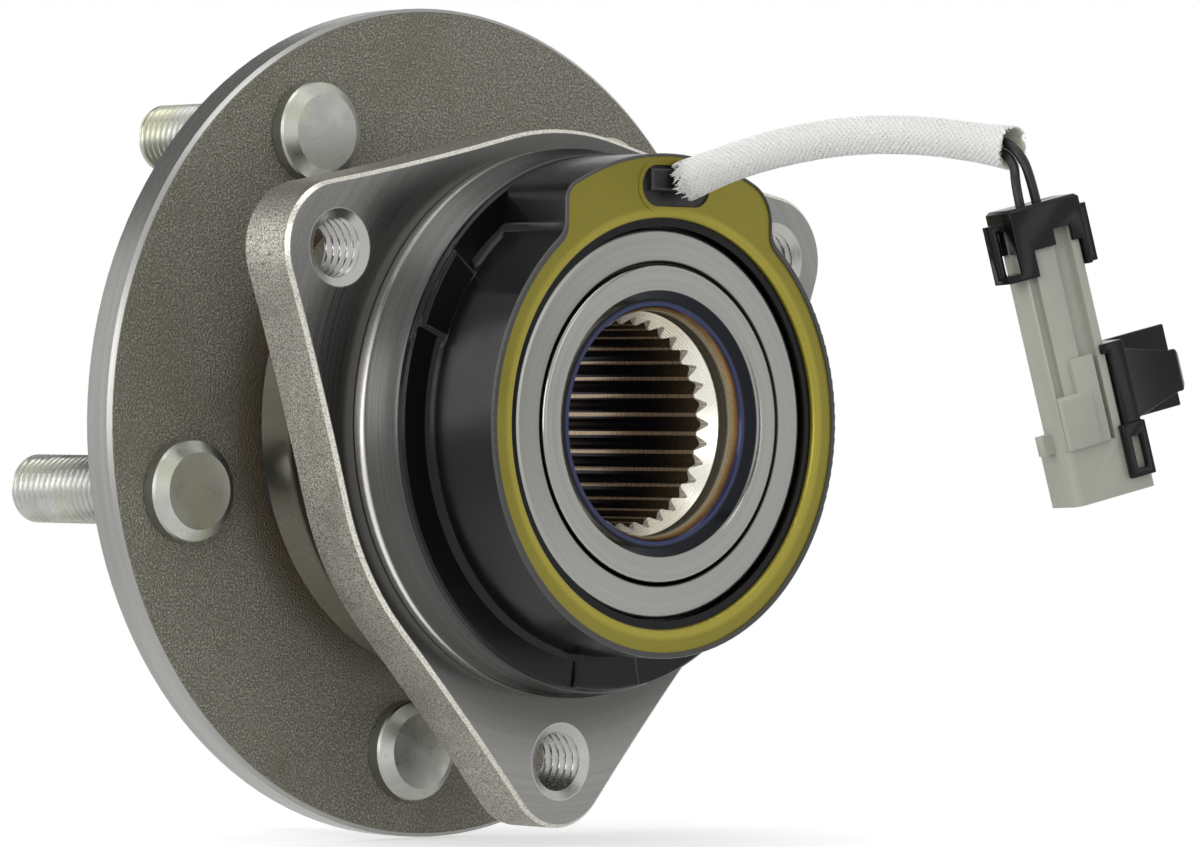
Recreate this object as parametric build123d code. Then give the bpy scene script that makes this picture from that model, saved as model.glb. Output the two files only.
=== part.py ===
from build123d import *
import math
import os

# A driven wheel hub unit: a flanged spindle turns on two rows of balls inside
# a fixed outer ring that bolts to the knuckle, with a wheel speed sensor in a
# stamped cap at the inboard end and a short lead with a plug.
#
# Millimetres. The spin axis is Y: +Y is outboard, the wheel's side, and -Y is
# inboard, the knuckle's side. The origin lies on the spin axis in the plane
# of the knuckle's mounting face, and +Z is up.

# Wheel flange and its studs
flange_r = 72.5
flange_face_y = 40.0
flange_thick = 6.7
flange_edge_chamfer = 0.7
stud_count = 5
stud_pcd = 115.0
stud_first_deg = 47.9
stud_thread_r = 5.95
stud_knurl_r = 6.4
stud_reach = 34.5
stud_tip_chamfer = 1.3
stud_head_r = 8.8
stud_head_height = 4.3
stud_head_bevel = 1.65
stud_hole_clearance = 0.02

# Pilots and the recess round the axle nut, on the wheel's side
brake_pilot_r = 35.9
brake_pilot_height = 5.5
wheel_pilot_r = 35.1
wheel_pilot_height = 13.5
wheel_pilot_chamfer = 1.8
nut_recess_r = 27.0
nut_recess_depth = 17.0
nut_recess_lead = 1.5

# Splined bore
spline_count = 33
spline_minor_r = 16.95
spline_major_r = 18.1
spline_mouth_width = 2.55
spline_root_width = 0.55
spline_floor_chamfer = 1.8
bore_relief_r = 19.1
bore_relief_length = 3.2
bore_lead_in = 3.0
bore_mouth_r = 19.95
bore_mouth_length = 1.7

# Rolled lip that holds the inner ring on the spindle
lip_outer_r = 26.9
lip_flat_r = 23.1
lip_step_r = 21.2
lip_step_depth = 1.5
lip_stand_out = 0.4

# Balls, raceways and cages
ball_r = 6.35
ball_pitch_r = 34.5
ball_count = 14
raceway_gap = 0.05
inboard_row_y = -1.0
row_spacing = 18.0
inner_shoulder_r = 33.0
outer_shoulder_r = 36.0
cage_thick = 1.8
cage_side = 1.1
cage_prong = 3.2
cage_pocket_gap = 0.12

# Spindle behind the flange and the pressed inner ring
seat_r = 24.0
seat_step_y = 5.0
flange_root_r = 5.0
inner_ring_face_y = -24.6
inner_ring_edge = 0.5
inner_ring_gap = 0.1

# Fixed outer ring
pilot_r = 47.0
pilot_length = 3.7
pilot_chamfer = 0.5
relief_r = 46.1
outer_ring_end_y = -9.7
lug_thick = 10.8
lug_pcd = 116.0
lug_count = 3
lug_first_deg = 30.0
lug_r = 11.4
lug_body_r = 50.4
lug_plate_lap = 0.8
lug_waist_r = 600.0
lug_edge_chamfer = 0.7
lug_thread_minor_r = 5.1
lug_countersink_r = 6.55
lug_countersink_depth = 0.85
collar_r = 49.0
neck_r = 44.2
neck_start_y = 21.0
outer_ring_back_y = 28.0
neck_chamfer = 0.6

# Outboard seal
seal_case_thick = 0.9
seal_case_length = 5.2
seal_lip_gap = 0.3
seal_body_inner_r = 35.2
seal_side_lip_reach = 3.0

# Sensor cap and its yellow-plated cover
cap_sheet = 1.4
cap_wall_thick = 1.0
cap_ear_thick = 0.5
cap_flange_r = 45.7
cap_end_y = -26.6
cap_rim_round = 0.35
cap_root_round = 1.3
cap_skirt_length = 4.5
cap_pad_height = 1.0
cap_pad_half_deg = 9.5
cap_pad_round = 0.7
cover_r = 38.6
cover_inner_r = 34.7
cover_sheet = 0.8
cover_set_back = 0.3
cover_lip_depth = 1.6
ear_half_width = 23.3
ear_shift = 0.4
ear_r = 45.1
ear_corner_left_r = 3.0
ear_corner_right_r = 7.0
ear_root_r = 4.0
slot_x = 1.7
slot_z = 40.1
slot_length = 15.6
slot_width = 7.0
slot_border = 0.9
slot_border_rise = 0.12

# Speed sensor inside the cap and its tone ring on the inner ring
tone_ring_r = 34.2
tone_ring_length = 9.0
tone_ring_teeth = 47
tone_tooth_depth = 0.45
tone_ring_end_y = -21.5
sensor_air_gap = 0.7
pole_ring_thick = 1.1
coil_length = 10.5
coil_flange = 1.0
coil_depth = 1.2
inboard_seal_gap = 0.3
inboard_seal_thick = 1.2

# Lead: braided sleeve over two wires
sleeve_r = 3.25
sleeve_wall = 0.3
wire_r = 0.8
grommet_set_back = 0.25
grommet_boss_rise = 1.0
grommet_boss = (0.7, 41.1, 10.4, 3.8)
grommet_boss_round = 0.6
sleeve_route = [
    (2.6, -28.6, 41.2),
    (4.0, -35.6, 43.6),
    (6.0, -46.5, 46.2),
    (8.4, -60.5, 48.0),
    (10.9, -75.0, 47.7),
    (12.8, -86.0, 46.2),
    (14.0, -93.2, 45.1),
]
wire_route_a = [
    (1.3, -27.3, 40.5),
    (1.3, -30.0, 40.5),
    (3.0, -35.6, 43.0),
    (5.1, -46.5, 45.5),
    (7.6, -60.5, 47.2),
    (10.1, -75.0, 46.8),
    (12.0, -86.0, 45.4),
    (12.75, -91.6, 44.7),
    (12.3, -95.2, 42.6),
]
wire_route_b = [
    (3.7, -27.3, 40.7),
    (3.7, -30.0, 40.7),
    (5.0, -35.6, 43.1),
    (6.9, -46.5, 45.8),
    (9.2, -60.5, 47.9),
    (11.2, -75.0, 48.3),
    (12.4, -86.0, 47.1),
    (12.7, -92.2, 46.45),
    (12.9, -96.3, 43.9),
]
wire_run_in = 3.1
wire_run_depth = 1.6

# Plug: its own frame has x across the width, y out of the ribbed face and z
# from the wires' end down to the mating end
plug_centre = (13.13, -98.2, 36.06)
plug_turn_deg = -16.7
plug_lean_width_deg = 14.2
plug_lean_depth_deg = 1.7
plug_length = 49.5
plug_body_width = 11.2
plug_body_depth = 6.2
plug_shroud_width = 15.2
plug_shroud_depth = 9.8
plug_shroud_length = 9.3
plug_shroud_wall = 1.2
plug_shroud_corner_r = 1.6
plug_wire_x = (-2.1, 1.0)
plug_groove_width = 1.6
plug_groove_depth = 0.9
plug_groove_edge = 0.35
plug_channel_width = 3.3
plug_channel_depth = 1.3
plug_rib_width = 1.7
plug_pad_height = 0.8
plug_pad_top_z = 25.9
plug_ramp_top_z = 31.5
plug_nub_reach = 2.3
plug_pin_half = 0.32
plug_pin_reach = 7.5
seal_plug_r = 1.4
seal_plug_length = 5.6
lock_wall = 0.9
lock_height = 7.3
lock_notch_z = 4.7
lock_loop_gap = 2.3
lock_loop_thick = 1.3
lock_loop_width = 2.2
lock_loop_start_z = 2.0
lock_loop_end_z = 11.6
clip_start_z = 24.9
clip_end_z = 39.4
clip_block_width = 3.1
clip_block_front = 4.0
clip_back = -3.6
clip_plate_thick = 1.2
clip_plate_reach = 14.8
clip_dart_reach = 12.6
clip_tip_reach = 2.0
clip_dart_root = (26.4, 38.2)
clip_dart_nose = (29.0, 36.0)
clip_tongue_width = 4.5
clip_tongue_thick = 1.4
clip_tongue_end_z = 47.3
fit_gap = 0.05


# Places that follow from the driving sizes
outboard_row_y = inboard_row_y + row_spacing
flange_back_y = flange_face_y - flange_thick
race_r = ball_r + raceway_gap
race_reach = math.sqrt(race_r**2 - (ball_pitch_r - inner_shoulder_r) ** 2)
outer_reach = math.sqrt(race_r**2 - (ball_pitch_r - outer_shoulder_r) ** 2)
inner_race_r = ball_pitch_r - race_r
outer_race_r = ball_pitch_r + race_r
lip_face_y = inner_ring_face_y - lip_stand_out
cap_flange_y = outer_ring_end_y - cap_sheet
cover_face_y = cap_end_y + cover_set_back
spline_floor_y = flange_face_y + wheel_pilot_height - nut_recess_depth
cap_wall_r = cover_r + cap_wall_thick


def turned(corners, rounds=()):
    """Solid of revolution about the spin axis from (radius, y) corners.

    Each entry of rounds is (radius, y, fillet radius) and names a corner.
    """
    face = make_face(Polyline(*corners, close=True))
    for corner_r, corner_y, fillet_r in rounds:
        corner = face.vertices().sort_by_distance((corner_r, corner_y, 0))[0]
        face = fillet(corner, fillet_r)
    return revolve(face, Axis.Y, 360)


def on_circle(radius, degrees, y=0.0):
    """Point on a circle about the spin axis; 0 degrees is +X, 90 is +Z."""
    angle = math.radians(degrees)
    return Vector(radius * math.cos(angle), y, radius * math.sin(angle))


def rod(x, z, radius, y_from, y_to):
    """Cylinder along the spin axis's direction, centred on x, z."""
    length = y_to - y_from
    place = Plane(origin=(x, y_from, z), x_dir=(1, 0, 0), z_dir=(0, 1, 0))
    return place * Cylinder(radius, length, align=(Align.CENTER, Align.CENTER, Align.MIN))


def sheet_plane(y):
    """Sketch plane facing inboard, with its own x along +X and y along +Z."""
    return Plane(origin=(0, y, 0), x_dir=(1, 0, 0), z_dir=(0, -1, 0))


def stud_angles():
    return [stud_first_deg + 360 / stud_count * k for k in range(stud_count)]


def lug_angles():
    return [lug_first_deg + 360 / lug_count * k for k in range(lug_count)]


def arc_corners(centre_y, from_r, to_r, side, steps=7):
    """Raceway corners round a ball centre, from one radius to another.

    side is +1 where the arc lies outboard of the ball's centre, -1 inboard.
    """
    start = math.asin((from_r - ball_pitch_r) / race_r)
    end = math.asin((to_r - ball_pitch_r) / race_r)
    corners = []
    for k in range(steps + 1):
        angle = start + (end - start) * k / steps
        corner_y = centre_y + side * race_r * math.cos(angle)
        corners.append((ball_pitch_r + race_r * math.sin(angle), corner_y))
    return corners


def hub_spindle():
    recess_y = spline_floor_y
    pilot_y = flange_face_y + wheel_pilot_height
    brake_y = flange_face_y + brake_pilot_height
    relief_y = lip_face_y + lip_step_depth + bore_mouth_length
    lead_y = relief_y + bore_relief_length
    spline_y = lead_y + bore_lead_in
    root_y = flange_back_y - flange_root_r
    corners = [
        (spline_minor_r, spline_y),
        (bore_relief_r, lead_y),
        (bore_relief_r, relief_y),
        (bore_mouth_r, lip_face_y + lip_step_depth),
        (lip_step_r, lip_face_y + lip_step_depth),
        (lip_flat_r, lip_face_y),
        (lip_outer_r, lip_face_y),
        (lip_outer_r, inner_ring_face_y + 0.3),
        (seat_r, inner_ring_face_y + 0.3 + lip_outer_r - seat_r),
        (seat_r, seat_step_y),
        (inner_race_r, seat_step_y),
    ]
    corners += arc_corners(outboard_row_y, inner_race_r, inner_shoulder_r, 1)
    corners += [
        (inner_shoulder_r, root_y),
        (inner_shoulder_r + flange_root_r, flange_back_y),
        (flange_r - flange_edge_chamfer, flange_back_y),
        (flange_r, flange_back_y + flange_edge_chamfer),
        (flange_r, flange_face_y - flange_edge_chamfer),
        (flange_r - flange_edge_chamfer, flange_face_y),
        (brake_pilot_r, flange_face_y),
        (brake_pilot_r, brake_y - 0.5),
        (brake_pilot_r - 0.5, brake_y),
        (wheel_pilot_r, brake_y),
        (wheel_pilot_r, pilot_y - wheel_pilot_chamfer),
        (wheel_pilot_r - wheel_pilot_chamfer, pilot_y),
        (nut_recess_r + nut_recess_lead, pilot_y),
        (nut_recess_r, pilot_y - nut_recess_lead),
        (nut_recess_r, recess_y),
        (spline_minor_r + spline_floor_chamfer, recess_y),
        (spline_minor_r, recess_y - spline_floor_chamfer),
    ]
    body = turned(corners)

    mouth = spline_mouth_width / 2
    root = spline_root_width / 2
    base_r = spline_minor_r - 1.0
    slope = (mouth - root) / (spline_major_r - spline_minor_r)
    tooth_space = Polyline(
        (base_r, mouth + slope),
        (spline_major_r, root),
        (spline_major_r, -root),
        (base_r, -mouth - slope),
        close=True,
    )
    space_length = recess_y - lip_face_y
    space = extrude(sheet_plane(recess_y) * make_face(tooth_space), space_length)
    cutters = []
    for k in range(spline_count):
        cutters.append(space.rotate(Axis.Y, 360 / spline_count * k))
    for degrees in stud_angles():
        spot = on_circle(stud_pcd / 2, degrees)
        hole_r = stud_knurl_r + stud_hole_clearance
        cutters.append(rod(spot.X, spot.Z, hole_r, flange_back_y - 1, flange_face_y + 1))
    return body - cutters


def wheel_studs():
    head_y = flange_back_y - stud_head_height
    tip_y = flange_face_y + stud_reach
    knurl_y = flange_face_y - 1.8
    studs = []
    for degrees in stud_angles():
        corners = [
            (0, head_y),
            (stud_head_r - stud_head_bevel, head_y),
            (stud_head_r, head_y + stud_head_bevel),
            (stud_head_r, flange_back_y),
            (stud_knurl_r, flange_back_y),
            (stud_knurl_r, knurl_y),
            (stud_thread_r, flange_face_y),
            (stud_thread_r, tip_y - stud_tip_chamfer),
            (stud_thread_r - stud_tip_chamfer, tip_y),
            (0, tip_y),
        ]
        spot = on_circle(stud_pcd / 2, degrees)
        studs.append(turned(corners).moved(Location((spot.X, 0, spot.Z))))
    return studs


def inner_ring():
    back_y = seat_step_y - inner_ring_gap / 2
    shoulder_y = inboard_row_y - race_reach
    seat_end_y = inner_ring_face_y + lip_outer_r + 0.4 - seat_r
    corners = [
        (seat_r, back_y),
        (seat_r, seat_end_y + 0.3),
        (lip_outer_r + 0.4, inner_ring_face_y + 0.3),
        (lip_outer_r + 0.4, inner_ring_face_y),
        (inner_shoulder_r - inner_ring_edge, inner_ring_face_y),
        (inner_shoulder_r, inner_ring_face_y + inner_ring_edge),
        (inner_shoulder_r, shoulder_y),
    ]
    corners += arc_corners(inboard_row_y, inner_shoulder_r, inner_race_r, -1)[1:]
    corners += [(inner_race_r, back_y)]
    return turned(corners)


def balls(row_y):
    ball = Sphere(ball_r)
    half_pitch = 180 / ball_count
    angles = [half_pitch * (2 * k + 1) for k in range(ball_count)]
    return [ball.moved(Location(on_circle(ball_pitch_r, a, row_y))) for a in angles]


def cage(row_y, open_side):
    """Crown cage: a ring on one side of the balls, prongs open on the other."""
    ring_y = row_y - open_side * (ball_r + cage_pocket_gap + cage_side)
    prong_y = row_y + open_side * cage_prong
    inner = ball_pitch_r - cage_thick / 2
    outer = ball_pitch_r + cage_thick / 2
    band = turned([(inner, ring_y), (outer, ring_y), (outer, prong_y), (inner, prong_y)])
    bore = Cylinder(ball_r + cage_pocket_gap, 4 * cage_thick)
    pocket = Pos(ball_pitch_r, row_y, 0) * Rot(0, 90, 0) * bore
    half_pitch = 180 / ball_count
    angles = [half_pitch * (2 * k + 1) for k in range(ball_count)]
    return band - [pocket.rotate(Axis.Y, angle) for angle in angles]


def lug_outline():
    """Triangular flange: three round lugs waisted by arcs into a disc."""
    centre_r = lug_pcd / 2
    to_body = lug_body_r + lug_waist_r
    to_lug = lug_r + lug_waist_r
    along = (to_body**2 - to_lug**2 + centre_r**2) / (2 * centre_r)
    off = math.sqrt(to_body**2 - along**2)
    outline = Circle(lug_body_r)
    for degrees in lug_angles():
        out = flat(on_circle(1, degrees))
        side = flat(on_circle(1, degrees + 90))
        corners = []
        for sign in (1, -1):
            waist = [out[i] * along + side[i] * off * sign for i in (0, 1)]
            on_body = [waist[i] * lug_body_r / to_body for i in (0, 1)]
            lug = [out[i] * centre_r for i in (0, 1)]
            on_lug = [lug[i] + (waist[i] - lug[i]) * lug_r / to_lug for i in (0, 1)]
            between = [(on_body[i] + on_lug[i]) / 2 - waist[i] for i in (0, 1)]
            reach = math.hypot(*between)
            middle = [waist[i] + between[i] * lug_waist_r / reach for i in (0, 1)]
            corners.append((tuple(on_body), tuple(middle), tuple(on_lug)))
        (body_1, middle_1, lug_1), (body_2, middle_2, lug_2) = corners
        edges = [
            ThreePointArc(body_1, middle_1, lug_1),
            Line(lug_1, lug_2),
            ThreePointArc(lug_2, middle_2, body_2),
            Line(body_2, body_1),
        ]
        lobe = Pos(out[0] * centre_r, out[1] * centre_r) * Circle(lug_r)
        outline += [make_face(edges), lobe]
    return outline


def flat(point):
    """Sketch coordinates of a point that lies in a plane across the axis."""
    return (point.X, point.Z)


def outer_ring():
    lug_plate = extrude(sheet_plane(lug_thick) * lug_outline(), lug_thick)
    knuckle_face = lug_plate.faces().sort_by(Axis.Y)[0]
    lug_plate = chamfer(knuckle_face.edges(), lug_edge_chamfer)
    pilot_end_y = -pilot_length
    bore_end_y = outer_ring_back_y
    inboard_shoulder_y = inboard_row_y + outer_reach
    corners = [
        (outer_race_r, outer_ring_end_y),
        (relief_r - 0.4, outer_ring_end_y),
        (relief_r, outer_ring_end_y + 0.4),
        (relief_r, pilot_end_y - pilot_chamfer),
        (pilot_r, pilot_end_y),
        (pilot_r, 0),
        (collar_r, 0),
        (collar_r, lug_thick),
        (neck_r + 2.2, lug_thick + 4.0),
        (neck_r + 0.6, neck_start_y - 3.0),
        (neck_r, neck_start_y),
        (neck_r, bore_end_y - neck_chamfer),
        (neck_r - neck_chamfer, bore_end_y),
        (outer_race_r, bore_end_y),
    ]
    corners += arc_corners(outboard_row_y, outer_race_r, outer_shoulder_r, -1)
    corners += [(outer_shoulder_r, inboard_shoulder_y)]
    corners += arc_corners(inboard_row_y, outer_shoulder_r, outer_race_r, 1)[1:]
    ring = turned(corners)

    opening = rod(0, 0, outer_race_r + lug_plate_lap, -1, lug_thick + 1)
    ring += lug_plate - opening
    tools = []
    sink = lug_countersink_depth
    for degrees in lug_angles():
        spot = on_circle(lug_pcd / 2, degrees)
        tools.append(rod(spot.X, spot.Z, lug_thread_minor_r, -1, lug_thick + 1))
        base = (Align.CENTER, Align.CENTER, Align.MIN)
        cone = Cone(lug_thread_minor_r, lug_countersink_r, sink, align=base)
        tools.append(sheet_plane(0) * Pos(spot.X, spot.Z, -sink) * cone)
    return ring - tools


def outboard_seal_case():
    outer = outer_race_r
    start_y = outer_ring_back_y - seal_case_length - 0.4
    end_y = outer_ring_back_y - 0.4
    inner = outer - seal_case_thick
    web_r = seal_body_inner_r + 2.0
    return turned([
        (outer, start_y), (outer, end_y), (web_r, end_y),
        (web_r, end_y - seal_case_thick), (inner, end_y - seal_case_thick), (inner, start_y),
    ])


def outboard_seal_lip():
    """Rubber bonded to the case: two lips round the spindle, one to the flange."""
    end_y = outer_ring_back_y - 0.4
    web_y = end_y - seal_case_thick
    web_r = seal_body_inner_r + 2.0
    land = inner_shoulder_r + seal_lip_gap
    back_y = web_y - 0.8
    return turned([
        (web_r + 1.5, web_y),
        (web_r, web_y),
        (web_r, end_y),
        (web_r + 1.5, end_y),
        (web_r + 1.5, end_y + 0.5),
        (web_r + 0.7, end_y + 0.8),
        (web_r + 2.4, end_y + seal_side_lip_reach),
        (web_r + 1.9, end_y + seal_side_lip_reach),
        (web_r - 0.9, end_y + 0.5),
        (land, end_y - 0.6),
        (land, end_y - 0.9),
        (seal_body_inner_r, web_y - 0.3),
        (land, back_y - 0.8),
        (land, back_y - 1.1),
        (seal_body_inner_r + 0.4, back_y),
        (web_r + 1.5, back_y),
    ])


def ear_outline(grow=0.0, ear_grow=0.0):
    """Cover's outline with its ear round the lead's exit, grown by the cap's wall."""
    left_x = ear_shift - ear_half_width - ear_grow
    right_x = ear_shift + ear_half_width + ear_grow
    top = ear_r + ear_grow
    base = cover_r + grow
    box = Rectangle(right_x - left_x, top, align=(Align.CENTER, Align.MIN))
    ear = Pos(ear_shift, 0) * box & Circle(top)
    rounds = ((left_x, ear_corner_left_r), (right_x, ear_corner_right_r))
    for x, radius in rounds:
        corner_z = math.sqrt(top**2 - x**2)
        corner = ear.vertices().sort_by_distance((x, corner_z, 0))[0]
        ear = fillet(corner, radius + ear_grow)
    outline = ear + Circle(base)
    for x in (left_x, right_x):
        root_z = math.sqrt(base**2 - x**2)
        corner = outline.vertices().sort_by_distance((x, root_z, 0))[0]
        outline = fillet(corner, ear_root_r)
    return outline


def sensor_cap():
    """Stamped shell pressed into the outer ring, its rim rolled to the cover."""
    depth = cap_flange_y - cap_end_y
    outline = ear_outline(cap_wall_thick, cap_ear_thick)
    shell = extrude(sheet_plane(cap_flange_y) * outline, depth)
    rim = shell.faces().sort_by(Axis.Y)[0]
    shell = fillet(rim.edges(), cap_rim_round)
    skirt_inner = outer_race_r - cap_sheet
    flange = turned([
        (skirt_inner, outer_ring_end_y),
        (cap_flange_r, outer_ring_end_y),
        (cap_flange_r, cap_flange_y + 0.4),
        (cap_flange_r - 0.4, cap_flange_y),
        (skirt_inner, cap_flange_y),
    ])
    root = turned([
        (cap_wall_r - 0.5, cap_flange_y),
        (cap_wall_r + cap_root_round, cap_flange_y),
        (cap_wall_r + cap_root_round * 0.3, cap_flange_y - cap_root_round * 0.3),
        (cap_wall_r, cap_flange_y - cap_root_round),
        (cap_wall_r - 0.5, cap_flange_y - cap_root_round),
    ])
    skirt_end_y = outer_ring_end_y + cap_skirt_length
    skirt = turned([
        (skirt_inner, cap_flange_y),
        (outer_race_r, outer_ring_end_y),
        (outer_race_r, skirt_end_y),
        (skirt_inner, skirt_end_y),
    ])
    hollow = extrude(sheet_plane(outer_ring_end_y) * ear_outline(), depth + 5)
    pads = [cap_pad(degrees) for degrees in lug_angles()]
    return shell + [flange, root, skirt] + pads - hollow


def cap_pad(centre_deg):
    """Raised pad pressed in the cap's flange, as wide as a slice of its ring."""
    top_y = cap_flange_y - cap_pad_height
    inner = cap_wall_r - 0.6
    outer = cap_flange_r - 0.3
    base_y = cap_flange_y + 0.3
    ring = turned([(inner, top_y), (outer, top_y), (outer, base_y), (inner, base_y)])
    corners = [(0, 0)]
    for side in (-1, 1):
        corners.append(flat(on_circle(2 * outer, centre_deg + side * cap_pad_half_deg)))
    wedge = make_face(Polyline(*corners, close=True))
    pad = ring & extrude(sheet_plane(base_y) * wedge, cap_pad_height + 0.3)
    top = pad.faces().sort_by(Axis.Y)[0]
    middle = on_circle(inner, centre_deg, top_y)
    eased = top.edges().sort_by_distance(middle)[1:]
    return fillet(eased, cap_pad_round)


def sensor_cover():
    """Plated face plate with the lead's slot and a rolled inner lip."""
    back_y = cover_face_y + cover_sheet
    plate = extrude(sheet_plane(back_y) * ear_outline(), cover_sheet)
    hole = rod(0, 0, cover_inner_r + 1.2, cover_face_y - 1, back_y + 1)
    lip = turned(
        [
            (cover_inner_r + 1.2, cover_face_y),
            (cover_inner_r + 1.2, back_y),
            (cover_inner_r + cover_sheet, back_y),
            (cover_inner_r + cover_sheet, cover_face_y + cover_lip_depth),
            (cover_inner_r, cover_face_y + cover_lip_depth),
            (cover_inner_r, cover_face_y),
        ],
        rounds=[(cover_inner_r, cover_face_y, 0.75)],
    )
    spot = Pos(slot_x, slot_z)
    slot = sheet_plane(back_y + 1) * spot * SlotOverall(slot_length, slot_width)
    grown = SlotOverall(slot_length + 2 * slot_border, slot_width + 2 * slot_border)
    border = extrude(sheet_plane(cover_face_y) * spot * grown, slot_border_rise)
    return plate + border - hole + lip - extrude(slot, cover_sheet + 2)


def inboard_seal():
    """Black rubber ring between the cover's lip and the inner ring."""
    inner = inner_shoulder_r + inboard_seal_gap
    start_y = cover_face_y + cover_lip_depth
    outer = cover_inner_r + cover_sheet
    end_y = start_y + inboard_seal_thick
    return turned([
        (inner, start_y - 0.6),
        (cover_inner_r, start_y - 0.6),
        (cover_inner_r, start_y),
        (outer, start_y),
        (outer, end_y),
        (inner + 0.5, end_y),
        (inner, start_y + 0.3),
    ])


def tone_ring():
    start_y = tone_ring_end_y
    end_y = start_y + tone_ring_length
    ring = turned([
        (inner_shoulder_r, start_y),
        (tone_ring_r, start_y),
        (tone_ring_r, end_y),
        (inner_shoulder_r, end_y),
    ])
    pitch = 2 * math.pi * tone_ring_r / tone_ring_teeth
    gap = Box(2 * tone_tooth_depth, tone_ring_length - 1.6, pitch * 0.5)
    gaps = []
    middle_y = (start_y + end_y) / 2
    first = gap.moved(Location((tone_ring_r, middle_y, 0)))
    for k in range(tone_ring_teeth):
        gaps.append(first.rotate(Axis.Y, 360 / tone_ring_teeth * k))
    return ring - gaps


def sensor_pole_ring():
    inner = tone_ring_r + sensor_air_gap
    middle_y = tone_ring_end_y + tone_ring_length / 2
    half = coil_length / 2
    return turned([
        (inner, middle_y - half), (inner + pole_ring_thick, middle_y - half),
        (inner + pole_ring_thick, middle_y + half), (inner, middle_y + half),
    ])


def sensor_coil():
    inner = tone_ring_r + sensor_air_gap + pole_ring_thick
    outer = cover_r
    middle_y = tone_ring_end_y + tone_ring_length / 2
    half = coil_length / 2
    waist = outer - 0.5
    return turned([
        (inner, middle_y - half), (outer, middle_y - half), (outer, middle_y - half + coil_flange),
        (waist, middle_y - half + coil_flange), (waist, middle_y + half - coil_flange),
        (outer, middle_y + half - coil_flange), (outer, middle_y + half), (inner, middle_y + half),
    ])


def wire_grommet():
    """Moulded block that fills the slot and stands on the coil behind it."""
    back_y = cover_face_y + cover_sheet
    face_y = cover_face_y + grommet_set_back
    coil_y = tone_ring_end_y + tone_ring_length / 2 - coil_length / 2
    neck = Pos(slot_x, slot_z) * SlotOverall(slot_length - 0.2, slot_width - 0.2)
    body = extrude(sheet_plane(back_y) * neck, back_y - face_y)
    foot = Pos(slot_x, slot_z - 0.3) * SlotOverall(slot_length + 2.0, slot_width - 0.6)
    body += extrude(sheet_plane(coil_y) * foot, coil_y - back_y)
    x, z, length, width = grommet_boss
    rise = grommet_boss_rise + grommet_set_back
    boss = extrude(sheet_plane(face_y) * Pos(x, z) * Rectangle(length, width), rise)
    top = boss.faces().sort_by(Axis.Y)[0]
    return body + fillet(top.edges(), grommet_boss_round)


def limb(route):
    """Straight runs joined by tangent arcs as large as the runs allow."""
    points = [Vector(*p) for p in route]
    radii = []
    for before, at, after in zip(points, points[1:], points[2:]):
        turn = (at - before).get_angle(after - at)
        run = min((at - before).length, (after - at).length)
        radii.append(0.45 * run / math.tan(math.radians(turn) / 2))
    return FilletPolyline(*points, radius=radii), radii


def tube(route, outer, inner=0.0):
    path, radii = limb(route)
    start = Plane(origin=path @ 0, z_dir=path % 0)
    section = Circle(outer)
    if inner:
        section -= Circle(inner)
    return sweep(start * section, path=path), path.length, min(radii)


def plug_frame():
    """Plane with x across the plug, y out of its ribbed face, z down it."""
    turn = math.radians(plug_turn_deg)
    across = Vector(math.cos(turn), math.sin(turn), 0)
    front = Vector(math.sin(turn), -math.cos(turn), 0)
    lean_width = math.tan(math.radians(plug_lean_width_deg))
    lean_depth = math.tan(math.radians(plug_lean_depth_deg))
    down = (Vector(0, 0, -1) + across * lean_width + front * lean_depth).normalized()
    across = (across - down * across.dot(down)).normalized()
    return Plane(origin=plug_centre, x_dir=across, z_dir=down)


def plug_point(x, z):
    """Point on the plug's middle plane, in the part's frame."""
    frame = plug_frame()
    point = frame.origin + frame.x_dir * x + frame.z_dir * z
    return (point.X, point.Y, point.Z)


def block(x0, x1, y0, y1, z0, z1):
    """Box in the plug's own frame, by its corners."""
    size = (x1 - x0, y1 - y0, z1 - z0)
    centre = ((x0 + x1) / 2, (y0 + y1) / 2, (z0 + z1) / 2)
    return Pos(*centre) * Box(*size)


def peg(x, radius, z0, z1):
    """Round peg along the plug, in its own frame."""
    return Pos(x, 0, z0) * Cylinder(radius, z1 - z0, align=(Align.CENTER, Align.CENTER, Align.MIN))


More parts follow.
